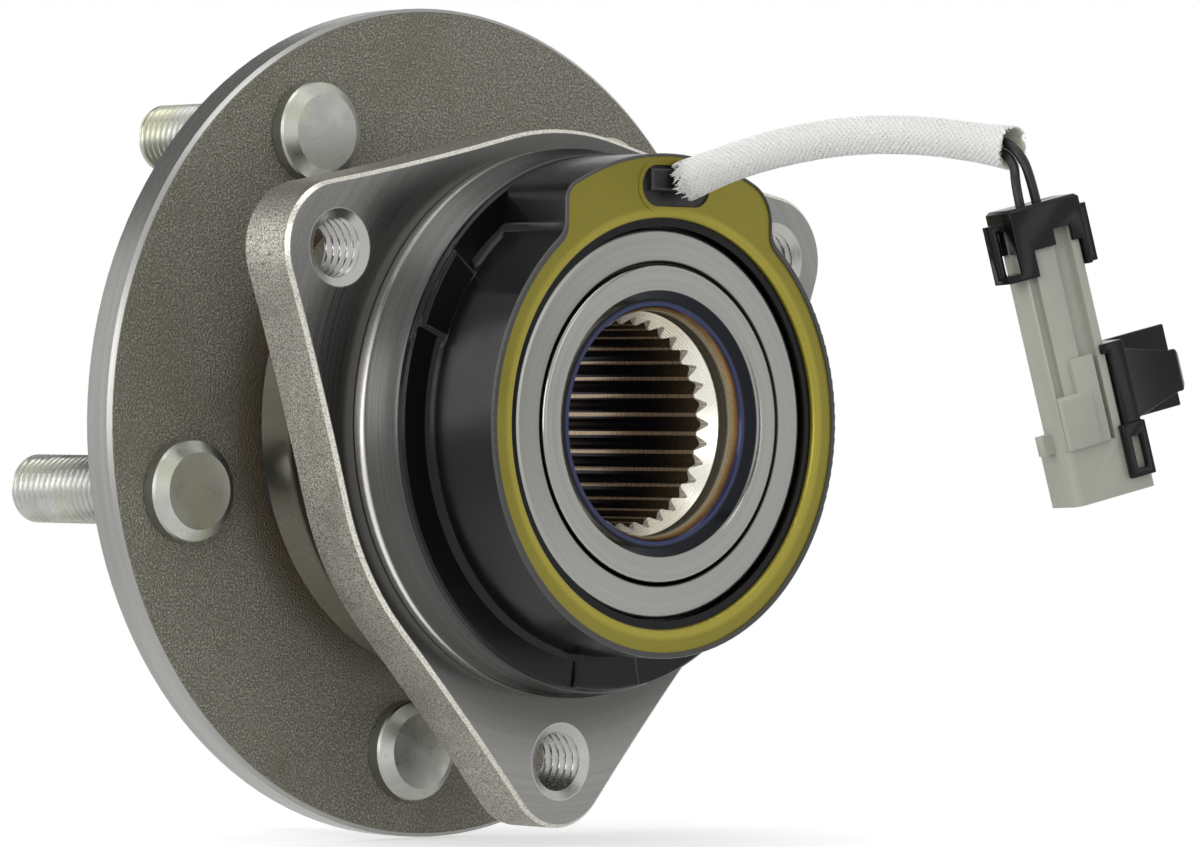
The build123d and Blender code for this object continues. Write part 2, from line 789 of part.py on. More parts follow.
def connector_body():
    side = plug_body_width / 2
    front = plug_body_depth / 2
    top = lock_wall + fit_gap
    shroud_top = plug_length - plug_shroud_length
    trunk = block(-side, side, -front, front, top, shroud_top)
    trunk = chamfer(trunk.edges().filter_by(Axis.Z), 0.3)
    groove_x = -side + plug_groove_edge
    groove_end = groove_x + plug_groove_width
    groove_floor = front - plug_groove_depth
    trunk -= block(groove_x, groove_end, groove_floor, front + 1, top - 1, shroud_top)
    channel_x = side - plug_rib_width - plug_channel_width
    channel_end = channel_x + plug_channel_width
    floor = front - plug_channel_depth
    trunk -= block(channel_x, channel_end, floor, front + 1, top - 1, shroud_top)
    pad_x = channel_x - 2.2
    pad_front = front + plug_pad_height
    pad = block(pad_x, pad_x + 4.2, floor, pad_front, plug_pad_top_z, shroud_top)
    ramp_front = front + 1.6 * plug_pad_height
    ramp = block(-side + 0.4, channel_x, floor, ramp_front, plug_ramp_top_z, shroud_top)
    ramp = chamfer(ramp.faces().sort_by(Axis.Z)[0].edges().sort_by(Axis.Y)[-1], 0.6)

    back = front - plug_shroud_depth
    right = -side + plug_shroud_width
    shroud = block(-side, right, back, front, shroud_top, plug_length)
    shroud = fillet(shroud.edges().filter_by(Axis.Z), plug_shroud_corner_r)
    wall = plug_shroud_wall
    floor_z = shroud_top + wall
    socket = block(-side + wall, right - wall, back + wall, front - wall, floor_z, plug_length + 1)
    socket = fillet(socket.edges().filter_by(Axis.Z), plug_shroud_corner_r - 0.8)
    nub_x = -side - plug_nub_reach
    nub = block(nub_x, -side + 0.5, 0.6 - front, -0.4, shroud_top - 3.0, shroud_top + 0.2)
    nub = fillet(nub.edges().filter_by(Axis.Z).sort_by(Axis.X)[:2], 0.7)
    body = trunk + [pad, ramp, shroud, nub]
    half = plug_pin_half + 0.02
    for x in plug_wire_x:
        body -= peg(x, seal_plug_r + fit_gap, top - 1, top + seal_plug_length)
        body -= block(x - half, x + half, -half, half, top, shroud_top + wall + 1)
    return plug_frame() * (body - socket)


def wire_seals():
    """Silicone plugs that close the body round the two wires."""
    top = lock_wall + fit_gap
    seals = []
    for x in plug_wire_x:
        seal = peg(x, seal_plug_r, top, top + seal_plug_length)
        seal -= peg(x, wire_r + fit_gap, top - 1, wire_run_depth)
        seals.append(plug_frame() * seal)
    return seals


def terminal_pins():
    """Blades that stand in the plug's socket."""
    half = plug_pin_half
    start = lock_wall + fit_gap + seal_plug_length
    end = plug_length - plug_shroud_length + plug_pin_reach
    return [plug_frame() * block(x - half, x + half, -half, half, start, end) for x in plug_wire_x]


def connector_rear_lock():
    """Cap snapped over the wires' end, with a loop latch on each side."""
    side = plug_body_width / 2 + fit_gap
    front = plug_body_depth / 2 + fit_gap
    wall = lock_wall
    cap = block(-side - wall, side + wall, -front - wall, front + wall, 0, lock_height)
    cap = chamfer(cap.faces().sort_by(Axis.Z)[0].edges(), 0.5)
    cap -= block(-side, side, -front, front, wall, lock_height + 1)
    notch_x = side - plug_rib_width - plug_channel_width
    notch_end = notch_x + plug_channel_width
    cap -= block(notch_x, notch_end, 0, front + wall + 1, lock_notch_z, lock_height + 1)

    outside = side + wall
    leg = side + lock_loop_gap
    far = leg + lock_loop_thick
    half = lock_loop_width / 2
    start = lock_loop_start_z
    end = lock_loop_end_z
    pieces = []
    for sign, bar_front in ((-1, front + wall), (1, half)):
        mouth = sorted((sign * side, sign * (outside + 1)))
        arm = sorted((sign * (outside - 0.2), sign * far))
        rail = sorted((sign * leg, sign * far))
        bar = sorted((sign * side, sign * far))
        cap -= block(*mouth, -half, half, start + 1.4, lock_height + 1)
        pieces.append(block(*arm, -half, half, start, start + 1.4))
        pieces.append(block(*rail, -half, half, start, end))
        pieces.append(block(*bar, -half, bar_front, end - 1.2, end))
    pieces.append(block(-side - wall, -side + 2.1, front, front + wall, lock_height - 0.5, end))
    pieces.append(block(side, side + wall, half, front + wall, lock_height - 0.5, end))
    cap += pieces
    for x in plug_wire_x:
        cap -= peg(x, wire_r + 0.15, -1, wall + 1)
    return plug_frame() * cap


def connector_mount_clip():
    """Clip on the plug's side, with a dart that snaps into a bracket."""
    left = plug_body_width / 2 + fit_gap
    right = left + clip_block_width
    start = clip_start_z
    end = clip_end_z
    back = clip_back
    front = clip_block_front
    clip = block(left, right, back, front, start, end)
    body_front = plug_body_depth / 2 + fit_gap
    lip = block(left - 1.2, left, body_front, front, start, start + 1.6)
    plate_front = back + clip_plate_thick
    plate = block(right, left + clip_plate_reach, back, plate_front, start, end - 0.8)
    nose_x = right + clip_dart_reach - clip_block_width
    root = Plane(origin=(right, 0, 0), x_dir=(0, 1, 0), z_dir=(1, 0, 0))
    root_z = clip_dart_root
    nose_z = clip_dart_nose
    root_shape = Rectangle(front - 0.7 - plate_front, root_z[1] - root_z[0])
    root_face = root * Pos((plate_front + front - 0.7) / 2, sum(root_z) / 2) * root_shape
    nose_plane = root.offset(nose_x - right)
    nose_face = nose_plane * Pos(0, sum(nose_z) / 2) * Rectangle(3.0, nose_z[1] - nose_z[0])
    dart = loft([root_face, nose_face])
    tip = extrude(nose_face, clip_tip_reach)
    tip = chamfer(tip.faces().sort_by(Axis.X)[-1].edges(), 0.9)
    tongue_front = body_front + clip_tongue_thick
    tongue_x = right - clip_tongue_width + 0.4
    tongue = block(tongue_x, right + 0.4, body_front, tongue_front, end - 1.0, clip_tongue_end_z)
    tongue -= block(right - 2.7, right - 0.8, 0, front + 2, end + 1.2, clip_tongue_end_z - 1.3)
    return plug_frame() * (clip + [lip, plate, dart, tip, tongue])


def write(name, shape):
    """One STEP file for each piece, with repeats gathered in one compound."""
    if isinstance(shape, (list, tuple)):
        shape = Compound(children=list(shape))
    shape.label = name
    export_step(shape, os.path.join("parts", name + ".step"))


def main():
    os.makedirs("parts", exist_ok=True)
    pieces = {
        "hub_spindle": hub_spindle(),
        "wheel_studs": wheel_studs(),
        "inner_ring": inner_ring(),
        "tone_ring": tone_ring(),
        "outboard_balls": balls(outboard_row_y),
        "outboard_cage": cage(outboard_row_y, 1),
        "inboard_balls": balls(inboard_row_y),
        "inboard_cage": cage(inboard_row_y, -1),
        "outer_ring": outer_ring(),
        "outboard_seal_case": outboard_seal_case(),
        "outboard_seal_lip": outboard_seal_lip(),
        "sensor_cap": sensor_cap(),
        "sensor_cover": sensor_cover(),
        "sensor_coil": sensor_coil(),
        "sensor_pole_ring": sensor_pole_ring(),
        "inboard_seal": inboard_seal(),
        "wire_grommet": wire_grommet(),
        "connector_body": connector_body(),
        "connector_rear_lock": connector_rear_lock(),
        "connector_mount_clip": connector_mount_clip(),
        "terminal_pins": terminal_pins(),
        "wire_seals": wire_seals(),
    }
    ends = [[plug_point(x, -wire_run_in), plug_point(x, wire_run_depth)] for x in plug_wire_x]
    limbs = {
        "cable_sleeve": (sleeve_route, sleeve_r, sleeve_r - sleeve_wall),
        "wire_a": (wire_route_a + ends[0], wire_r, 0.0),
        "wire_b": (wire_route_b + ends[1], wire_r, 0.0),
    }
    for name, (route, outer, inner) in limbs.items():
        solid, length, tightest = tube(route, outer, inner)
        expected = math.pi * (outer**2 - inner**2) * length
        ratio = solid.volume / expected
        print(f"{name}: length {length:.1f}, tightest bend {tightest:.1f}, volume ratio {ratio:.4f}")
        print("   ", [tuple(round(c, 2) for c in p) for p in route])
        pieces[name] = solid
    for name, shape in pieces.items():
        write(name, shape)


main()
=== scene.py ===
import math
import random

import bmesh
import bpy
from mathutils import Matrix, Vector


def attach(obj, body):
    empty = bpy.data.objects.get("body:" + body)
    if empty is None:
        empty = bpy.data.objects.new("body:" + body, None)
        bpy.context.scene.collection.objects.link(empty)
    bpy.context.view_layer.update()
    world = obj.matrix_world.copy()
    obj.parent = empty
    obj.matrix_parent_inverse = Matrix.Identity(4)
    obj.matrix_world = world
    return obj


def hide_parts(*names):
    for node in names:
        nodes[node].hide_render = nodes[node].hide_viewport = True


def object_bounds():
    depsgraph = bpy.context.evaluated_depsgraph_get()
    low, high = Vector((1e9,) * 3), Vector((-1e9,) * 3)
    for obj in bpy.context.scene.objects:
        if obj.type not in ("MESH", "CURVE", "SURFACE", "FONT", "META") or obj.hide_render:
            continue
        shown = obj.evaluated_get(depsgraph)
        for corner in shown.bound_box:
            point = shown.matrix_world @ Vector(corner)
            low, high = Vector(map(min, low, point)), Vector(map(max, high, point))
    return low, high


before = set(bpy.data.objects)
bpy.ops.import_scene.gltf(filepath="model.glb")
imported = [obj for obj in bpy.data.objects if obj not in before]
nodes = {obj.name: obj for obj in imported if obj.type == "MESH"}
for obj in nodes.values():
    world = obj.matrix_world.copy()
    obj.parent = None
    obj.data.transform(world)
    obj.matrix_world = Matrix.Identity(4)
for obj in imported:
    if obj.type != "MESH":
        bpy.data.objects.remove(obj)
cad_box = [list(corner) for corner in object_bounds()]


# Camera: a long lens at the height of the spin axis, on the knuckle's side and
# 42.5 degrees round from the axis, so that the bore and the flange both show.
camera_place = Vector((-0.76852, -0.84902, -0.00185))
camera_right = Vector((0.737584, -0.675227, 0.006213))
camera_up = Vector((-0.005680, 0.002996, 0.999979))
camera_ahead = Vector((0.675232, 0.737604, 0.001626))
camera_lens_mm = 200.38
camera_data = bpy.data.cameras.new("camera")
camera_data.sensor_width = 36.0
camera_data.lens = camera_lens_mm
camera_data.clip_start = 0.01
camera_data.clip_end = 30.0
camera = bpy.data.objects.new("camera", camera_data)
camera.rotation_mode = "QUATERNION"
camera.location = camera_place
camera_axes = Matrix((camera_right, camera_up, -camera_ahead)).transposed()
camera.rotation_quaternion = camera_axes.to_quaternion()
bpy.context.scene.collection.objects.link(camera)
bpy.context.scene.camera = camera
bpy.context.scene.view_settings.view_transform = "Standard"


# Light: a white tent all round, with a tall soft box and a bright strip on the
# camera's left, weaker boxes on its right and overhead, a broad one beside the
# lens, and a grey card that gives the polished rings something dark to show.
def add(tree, kind, inputs=None, **settings):
    """One node; an input takes a plain value or another node's output."""
    node = tree.nodes.new(kind)
    for key, value in settings.items():
        setattr(node, key, value)
    for key, value in (inputs or {}).items():
        if isinstance(value, bpy.types.NodeSocket):
            tree.links.new(value, node.inputs[key])
        else:
            node.inputs[key].default_value = value
    return node


def calc(tree, operation, first, second=0.0, third=0.0):
    """Result of a maths node."""
    values = {0: first, 1: second, 2: third}
    return add(tree, "ShaderNodeMath", values, operation=operation).outputs[0]


tent_on_object = 0.6
tent_on_camera = 1.0
world = bpy.data.worlds.new("tent")
world.use_nodes = True
world.node_tree.nodes.clear()
rays = add(world.node_tree, "ShaderNodeLightPath").outputs
seen = calc(world.node_tree, "MAXIMUM", rays["Is Camera Ray"], rays["Is Glossy Ray"])
seen = calc(world.node_tree, "MAXIMUM", seen, rays["Is Transmission Ray"])
tent_level = calc(
    world.node_tree, "MULTIPLY_ADD", seen, tent_on_camera - tent_on_object, tent_on_object
)
tent = add(world.node_tree, "ShaderNodeBackground", {"Strength": tent_level})
tent.inputs["Color"].default_value = (1.0, 1.0, 1.0, 1.0)
tent_out = add(world.node_tree, "ShaderNodeOutputWorld")
world.node_tree.links.new(tent.outputs[0], tent_out.inputs[0])
bpy.context.scene.world = world


def soft_box(name, offset, width, height, level):
    """Area lamp at an offset (right, up, back) from the origin, aimed at it."""
    lamp = bpy.data.lights.new(name, "AREA")
    lamp.shape = "RECTANGLE"
    lamp.size = width
    lamp.size_y = height
    lamp.energy = level * math.pi * width * height
    box = bpy.data.objects.new(name, lamp)
    right, up, back = offset
    box.location = camera_right * right + camera_up * up - camera_ahead * back
    box.rotation_mode = "QUATERNION"
    box.rotation_quaternion = box.location.to_track_quat("Z", "Y")
    bpy.context.scene.collection.objects.link(box)


soft_box("left_box", (-0.95, 0.18, 0.35), 0.5, 0.9, 2.0)
soft_box("left_strip", (-0.9, 0.05, 0.12), 0.07, 0.9, 4.0)
soft_box("right_box", (0.9, 0.25, 0.7), 0.35, 0.7, 1.1)
soft_box("top_box", (-0.1, 1.0, 0.25), 0.9, 0.5, 1.7)
soft_box("front_box", (-0.5, 0.2, 1.1), 0.9, 0.7, 2.4)


def grey_card(name, offset, width, height):
    """Card at an offset (right, up, ahead) that only metal and gloss paint show."""
    right, up, ahead = offset
    spot = camera_right * right + camera_up * up + camera_ahead * ahead
    turn = spot.to_track_quat("Z", "Y")
    corners = [(-width, -height), (width, -height), (width, height), (-width, height)]
    mesh = bpy.data.meshes.new(name)
    points = [spot + turn @ Vector((x / 2, y / 2, 0.0)) for x, y in corners]
    mesh.from_pydata(points, [], [(0, 1, 2, 3)])
    mesh.materials.append(card_grey)
    card = bpy.data.objects.new(name, mesh)
    card.visible_camera = False
    card.visible_diffuse = False
    card.visible_transmission = False
    card.visible_shadow = False
    bpy.context.scene.collection.objects.link(card)


card_grey = bpy.data.materials.new("card_grey")
card_grey.use_nodes = True
card_grey.node_tree.nodes.clear()
card_colour = (0.3, 0.3, 0.3, 1.0)
card_shader = add(card_grey.node_tree, "ShaderNodeBsdfDiffuse", {"Color": card_colour})
card_out = add(card_grey.node_tree, "ShaderNodeOutputMaterial")
card_grey.node_tree.links.new(card_shader.outputs[0], card_out.inputs[0])
grey_card("card_over_back", (-0.3, 0.75, 0.6), 1.5, 0.75)


# Floor: a pale table that fades into the tent a few hand widths from the part.
floor_gap = 0.0004
floor_half = 1.6
floor_clear_r = 0.05
floor_faded_r = 0.20
floor_z = cad_box[0][2] - floor_gap
floor_glow = 0.5


def finish_tree(name):
    """Material with an empty node tree and its output node."""
    material = bpy.data.materials.new(name)
    material.use_nodes = True
    material.node_tree.nodes.clear()
    return material, material.node_tree, add(material.node_tree, "ShaderNodeOutputMaterial")


def on_part(tree):
    """Place on the part in metres, which stays put when the part turns."""
    return add(tree, "ShaderNodeTexCoord").outputs["Object"]


def slope(tree, value, low, high, to_low=0.0, to_high=1.0):
    """Smooth step of a value from low to high."""
    node = add(
        tree,
        "ShaderNodeMapRange",
        {"Value": value, 1: low, 2: high, 3: to_low, 4: to_high},
        interpolation_type="SMOOTHSTEP",
    )
    return node.outputs[0]


floor_mesh = bpy.data.meshes.new("floor")
floor_corners = [(-1, -1), (1, -1), (1, 1), (-1, 1)]
floor_points = [(x * floor_half, y * floor_half, floor_z) for x, y in floor_corners]
floor_mesh.from_pydata(floor_points, [], [(0, 1, 2, 3)])
floor = bpy.data.objects.new("floor", floor_mesh)
bpy.context.scene.collection.objects.link(floor)
table, tree, out = finish_tree("pale_table")
place = on_part(tree)
flat_place = add(tree, "ShaderNodeVectorMath", {0: place, 1: (1, 1, 0)}, operation="MULTIPLY")
reach = add(tree, "ShaderNodeVectorMath", {0: flat_place.outputs[0]}, operation="LENGTH")
faded = slope(tree, reach.outputs["Value"], floor_clear_r, floor_faded_r)
rays = add(tree, "ShaderNodeLightPath").outputs
seen = calc(tree, "MAXIMUM", rays["Is Camera Ray"], rays["Is Glossy Ray"])
matt = add(tree, "ShaderNodeBsdfDiffuse", {"Color": (0.8, 0.8, 0.8, 1.0)})
glow = add(tree, "ShaderNodeEmission", {"Strength": calc(tree, "MULTIPLY", seen, floor_glow)})
lit = add(tree, "ShaderNodeAddShader", {0: matt.outputs[0], 1: glow.outputs[0]})
white = add(tree, "ShaderNodeEmission", {"Strength": 1.0})
seen_fade = calc(tree, "MULTIPLY", faded, seen)
mixed = add(tree, "ShaderNodeMixShader", {0: seen_fade, 1: lit.outputs[0], 2: white.outputs[0]})
tree.links.new(mixed.outputs[0], out.inputs[0])
floor_mesh.materials.append(table)


# Braided sleeve: white glass-fibre yarn braided over a thin lining, 6.5 mm
# across and 66.5 mm long. Both ends are cut open and the yarns fray there.
sleeve_r = 0.00305
sleeve_lining = 0.00022
sleeve_start_flare = 0.12
sleeve_end_flare = 0.17
flare_reach = 0.010
sleeve_points = [
    (0.0026, -0.0286, 0.0412),
    (0.0040, -0.0356, 0.0436),
    (0.0060, -0.0465, 0.0462),
    (0.0084, -0.0605, 0.0480),
    (0.0109, -0.0750, 0.0477),
    (0.0128, -0.0860, 0.0462),
    (0.0140, -0.0932, 0.0451),
]
yarns_round = 20
yarn_row_pitch = 0.00052
yarn_lean_deg = 40.0
yarn_length = 0.00114
yarn_width = 0.00072
yarn_height = 0.00032
fray_length = 0.0026
fray_width = 0.0003
fray_height = 0.00022
lining_rings = 90
lining_sides = 34
rag_fade = 20
rag_start_reach = (-0.0006, 0.0012)
rag_end_reach = (-0.0002, 0.0006)
route_steps = 16


def tone(red, green, blue):
    """Colour given as screen values from 0 to 255."""
    linear = []
    for value in (red, green, blue):
        v = value / 255
        linear.append(v / 12.92 if v <= 0.04045 else ((v + 0.055) / 1.055) ** 2.4)
    return (*linear, 1.0)


def route_curve(name, points, resolution):
    """Smooth open curve through the route, without thickness."""
    data = bpy.data.curves.new(name, "CURVE")
    data.dimensions = "3D"
    spline = data.splines.new("NURBS")
    spline.points.add(len(points) - 1)
    for spot, point in zip(spline.points, points):
        spot.co = (*point, 1.0)
    spline.order_u = 3
    spline.use_endpoint_u = True
    spline.resolution_u = resolution
    obj = bpy.data.objects.new(name, data)
    bpy.context.scene.collection.objects.link(obj)
    return obj


def plain_mesh(obj):
    """The object's evaluated shape as a mesh of its own."""
    bpy.context.view_layer.update()
    result = obj.evaluated_get(bpy.context.evaluated_depsgraph_get())
    return bpy.data.meshes.new_from_object(result)


def centreline(points):
    """Close points along the route's smooth curve."""
    route = route_curve("route", points, route_steps)
    mesh = plain_mesh(route)
    line = [v.co.copy() for v in mesh.vertices]
    bpy.data.objects.remove(route)
    return line


class Lead:
    """Centreline with places and steady directions at any distance along it."""

    def __init__(self, line):
        self.line = line
        self.at = [0.0]
        for a, b in zip(line, line[1:]):
            self.at.append(self.at[-1] + (b - a).length)
        self.total = self.at[-1]

    def spot(self, distance):
        """Point, forward, up and side at a distance from the start."""
        held = min(max(distance, 0.0), self.total)
        k = 0
        while k < len(self.at) - 2 and self.at[k + 1] < held:
            k += 1
        a, b = self.line[k], self.line[k + 1]
        share = (held - self.at[k]) / (self.at[k + 1] - self.at[k])
        before = self.line[max(k - 1, 0)]
        after = self.line[min(k + 2, len(self.line) - 1)]
        ahead = ((b - before).lerp(after - a, share)).normalized()
        point = a.lerp(b, share) + ahead * (distance - held)
        side = ahead.cross(Vector((0, 0, 1))).normalized()
        return point, ahead, side.cross(ahead), side


def sleeve_radius(distance, total):
    """The sleeve opens a little towards both cut ends."""
    near_start = max(0.0, 1 - distance / flare_reach) ** 2
    near_end = max(0.0, 1 - (total - distance) / flare_reach) ** 2
    return sleeve_r * (1 + sleeve_start_flare * near_start + sleeve_end_flare * near_end)


def new_piece(name, verts, faces, material, body):
    """Piece made from plain points and faces."""
    mesh = bpy.data.meshes.new(name)
    mesh.from_pydata(verts, [], faces)
    mesh.validate()
    mesh.update()
    return mesh_piece(name, mesh, material, body)


def mesh_piece(name, mesh, material, body):
    """Puts a finished mesh on its body, with its finish."""
    mesh.materials.clear()
    mesh.materials.append(material)
    mesh.name = name
    obj = bpy.data.objects.new(name, mesh)
    bpy.context.scene.collection.objects.link(obj)
    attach(obj, body)
    return obj


def recipe(name, sizes):
    """Geometry node tree whose group input has one named socket for each size."""
    tree = bpy.data.node_groups.new(name, "GeometryNodeTree")
    face = tree.interface
    face.new_socket("Geometry", in_out="INPUT", socket_type="NodeSocketGeometry")
    for label in sizes:
        face.new_socket(label, in_out="INPUT", socket_type="NodeSocketFloat")
    face.new_socket("Geometry", in_out="OUTPUT", socket_type="NodeSocketGeometry")
    return tree, add(tree, "NodeGroupInput").outputs, add(tree, "NodeGroupOutput")


def carry_out(tree, mesh, sizes):
    """Runs a recipe on a mesh with these sizes and returns the plain result."""
    obj = bpy.data.objects.new("blank", mesh)
    bpy.context.scene.collection.objects.link(obj)
    modifier = obj.modifiers.new("recipe", "NODES")
    modifier.node_group = tree
    for item in tree.interface.items_tree:
        if item.in_out == "INPUT" and item.name in sizes:
            modifier[item.identifier] = sizes[item.name]
    result = plain_mesh(obj)
    bpy.data.objects.remove(obj)
    return result


def yarn_recipe(material):
    """One flat grain of yarn on each point, along the point's own direction."""
    sizes = ("Yarn length", "Yarn width", "Yarn height")
    tree, given, out = recipe("yarns", sizes)
    grain = add(tree, "GeometryNodeMeshUVSphere", {"Segments": 8, "Rings": 4, "Radius": 0.5})
    size = add(
        tree,
        "ShaderNodeCombineXYZ",
        {0: given["Yarn length"], 1: given["Yarn width"], 2: given["Yarn height"]},
    )
    names = ("out", "along", "share")
    kinds = ("FLOAT_VECTOR", "FLOAT_VECTOR", "FLOAT")
    read = []
    for label, kind in zip(names, kinds):
        read.append(add(tree, "GeometryNodeInputNamedAttribute", {"Name": label}, data_type=kind))
    turn = add(
        tree,
        "FunctionNodeAxesToRotation",
        {0: read[0].outputs[0], 1: read[1].outputs[0]},
        primary_axis="Z",
        secondary_axis="X",
    )
    scale = add(
        tree,
        "ShaderNodeVectorMath",
        {0: size.outputs[0], "Scale": read[2].outputs[0]},
        operation="SCALE",
    )
    placed = add(
        tree,
        "GeometryNodeInstanceOnPoints",
        {
            "Points": given["Geometry"],
            "Instance": grain.outputs["Mesh"],
            "Rotation": turn.outputs[0],
            "Scale": scale.outputs[0],
        },
    )
    solid = add(tree, "GeometryNodeRealizeInstances", {0: placed.outputs[0]})
    smooth = add(tree, "GeometryNodeSetShadeSmooth", {0: solid.outputs[0]})
    dressed = add(tree, "GeometryNodeSetMaterial", {0: smooth.outputs[0], "Material": material})
    tree.links.new(dressed.outputs[0], out.inputs[0])
    return tree


def with_vectors(points, ways, shares):
    """Mesh of loose points that carry a way out, a way along and a share of size."""
    mesh = bpy.data.meshes.new("points")
    mesh.from_pydata(points, [], [])
    for label, values in (("out", [w[0] for w in ways]), ("along", [w[1] for w in ways])):
        attribute = mesh.attributes.new(label, "FLOAT_VECTOR", "POINT")
        attribute.data.foreach_set("vector", [c for v in values for c in v])
    attribute = mesh.attributes.new("share", "FLOAT", "POINT")
    attribute.data.foreach_set("value", shares)
    return mesh


def principled(tree, out, inputs):
    """The finish's surface shader, joined to the material's output."""
    shader = add(tree, "ShaderNodeBsdfPrincipled", inputs)
    tree.links.new(shader.outputs[0], out.inputs[0])


def blend_tone(tree, share, first, second):
    """Mix of two colours by a share."""
    values = {0: share, 6: first, 7: second}
    return add(tree, "ShaderNodeMix", values, data_type="RGBA").outputs[2]


def noise(tree, place, scale, detail=2.0, roughness=0.5):
    """Cloudy value about 0.5, with this many grains to a metre."""
    values = {"Vector": place, "Scale": scale, "Detail": detail, "Roughness": roughness}
    return add(tree, "ShaderNodeTexNoise", values).outputs[0]


def bump(tree, height, strength, distance, under=None):
    """Small relief, over another one where it is given."""
    values = {"Height": height, "Strength": strength, "Distance": distance}
    if under is not None:
        values["Normal"] = under
    return add(tree, "ShaderNodeBump", values).outputs[0]


braid, tree, out = finish_tree("glass_braid")
place = on_part(tree)
fuzz = noise(tree, place, 2600.0)
soil = slope(tree, noise(tree, place, 90.0), 0.35, 0.75)
principled(tree, out, {
    "Base Color": blend_tone(tree, soil, tone(255, 255, 251), tone(252, 252, 242)),
    "Roughness": 0.55,
    "Sheen Weight": 0.6,
    "Subsurface Weight": 0.6,
    "Subsurface Radius": (1.0, 1.0, 0.92),
    "Subsurface Scale": 0.0012,
    "Normal": bump(tree, fuzz, 0.25, 0.0001),
})

# The lining is tinted darker and more olive than the yarn: painted shade that shows in the gaps
# between the yarns.
under_braid, tree, out = finish_tree("sleeve_lining")
weft = noise(tree, on_part(tree), 1400.0)
principled(tree, out, {
    "Base Color": blend_tone(tree, weft, tone(214, 214, 196), tone(234, 234, 220)),
    "Roughness": 0.7,
})

lead = Lead(centreline(sleeve_points))
random.seed(11)
rag_start = [random.uniform(*rag_start_reach) for _ in range(lining_sides)]
rag_end = [random.uniform(*rag_end_reach) for _ in range(lining_sides)]
verts = []
for wall in (0.0, sleeve_lining):
    for ring in range(lining_rings + 1):
        for side in range(lining_sides):
            share = ring / lining_rings
            start = rag_start[side] * max(0.0, 1 - share * rag_fade)
            end = -rag_end[side] * max(0.0, 1 - (1 - share) * rag_fade)
            distance = share * lead.total + start + end
            point, ahead, up, across = lead.spot(distance)
            angle = 2 * math.pi * side / lining_sides
            radial = up * math.cos(angle) + across * math.sin(angle)
            verts.append(point + radial * (sleeve_radius(distance, lead.total) - wall))
faces = []
shell = (lining_rings + 1) * lining_sides
for ring in range(lining_rings):
    for side in range(lining_sides):
        a = ring * lining_sides + side
        b = ring * lining_sides + (side + 1) % lining_sides
        c, d = b + lining_sides, a + lining_sides
        faces.append((a, b, c, d))
        faces.append((a + shell, d + shell, c + shell, b + shell))
for ring in (0, lining_rings):
    for side in range(lining_sides):
        a = ring * lining_sides + side
        b = ring * lining_sides + (side + 1) % lining_sides
        rim = (a, a + shell, b + shell, b)
        faces.append(rim if ring == 0 else rim[::-1])
lining = bpy.data.meshes.new("lining")
lining.from_pydata(verts, [], faces)
lining.shade_smooth()

# The braid: rows of yarn grains that lean one way and then the other.
points, ways, shares = [], [], []
rows = int(lead.total / yarn_row_pitch)
for row in range(rows + 1):
    lean = math.radians(yarn_lean_deg) * (1 if row % 2 else -1)
    for k in range(yarns_round):
        angle = 2 * math.pi * (k + 0.5 * (row % 2)) / yarns_round
        side = int(angle / (2 * math.pi) * lining_sides) % lining_sides
        distance = row * yarn_row_pitch
        if distance < rag_start[side] or distance > lead.total - rag_end[side]:
            continue
        point, ahead, up, across = lead.spot(distance)
        radial = up * math.cos(angle) + across * math.sin(angle)
        around = ahead.cross(radial)
        points.append(point + radial * sleeve_radius(distance, lead.total))
        ways.append((radial, ahead * math.cos(lean) + around * math.sin(lean)))
        shares.append(random.uniform(0.92, 1.08))
yarns = yarn_recipe(braid)
grains = carry_out(
    yarns,
    with_vectors(points, ways, shares),
    {"Yarn length": yarn_length, "Yarn width": yarn_width, "Yarn height": yarn_height},
)

# Frayed yarn ends: (end, how many, longest share of their full length).
points, ways, shares = [], [], []
for end, count, longest in ((0, 150, 1.0), (1, 60, 0.5)):
    for _ in range(count):
        angle = random.uniform(0, 2 * math.pi)
        distance = random.uniform(-0.0006, 0.0009) if end == 0 else lead.total
        point, ahead, up, across = lead.spot(distance)
        radial = up * math.cos(angle) + across * math.sin(angle)
        around = ahead.cross(radial)
        way = ahead * (-1 if end == 0 else 1) + radial * random.uniform(0.0, 0.8)
        way += around * random.uniform(-0.7, 0.7)
        points.append(point + radial * sleeve_radius(distance, lead.total))
        ways.append((radial, way.normalized()))
        shares.append(random.uniform(0.45, 1.0) * longest)
frays = carry_out(
    yarns,
    with_vectors(points, ways, shares),
    {"Yarn length": fray_length, "Yarn width": fray_width, "Yarn height": fray_height},
)
joined = bmesh.new()
for part in (lining, grains, frays):
    joined.from_mesh(part)
sleeve_mesh = bpy.data.meshes.new("braided_sleeve")
joined.to_mesh(sleeve_mesh)
joined.free()
sleeve = mesh_piece("braided_sleeve", sleeve_mesh, braid, "fixed_ring")
sleeve_mesh.materials.append(under_braid)
for face in sleeve_mesh.polygons[:len(lining.polygons)]:
    face.material_index = 1
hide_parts("cable_sleeve")


# Wires: two black sheathed wires, 1.6 mm across, that leave the sensor through
# the grommet, run inside the sleeve and turn down into the plug.
wire_r = 0.0008
wire_steps = 14
wire_roundness = 4
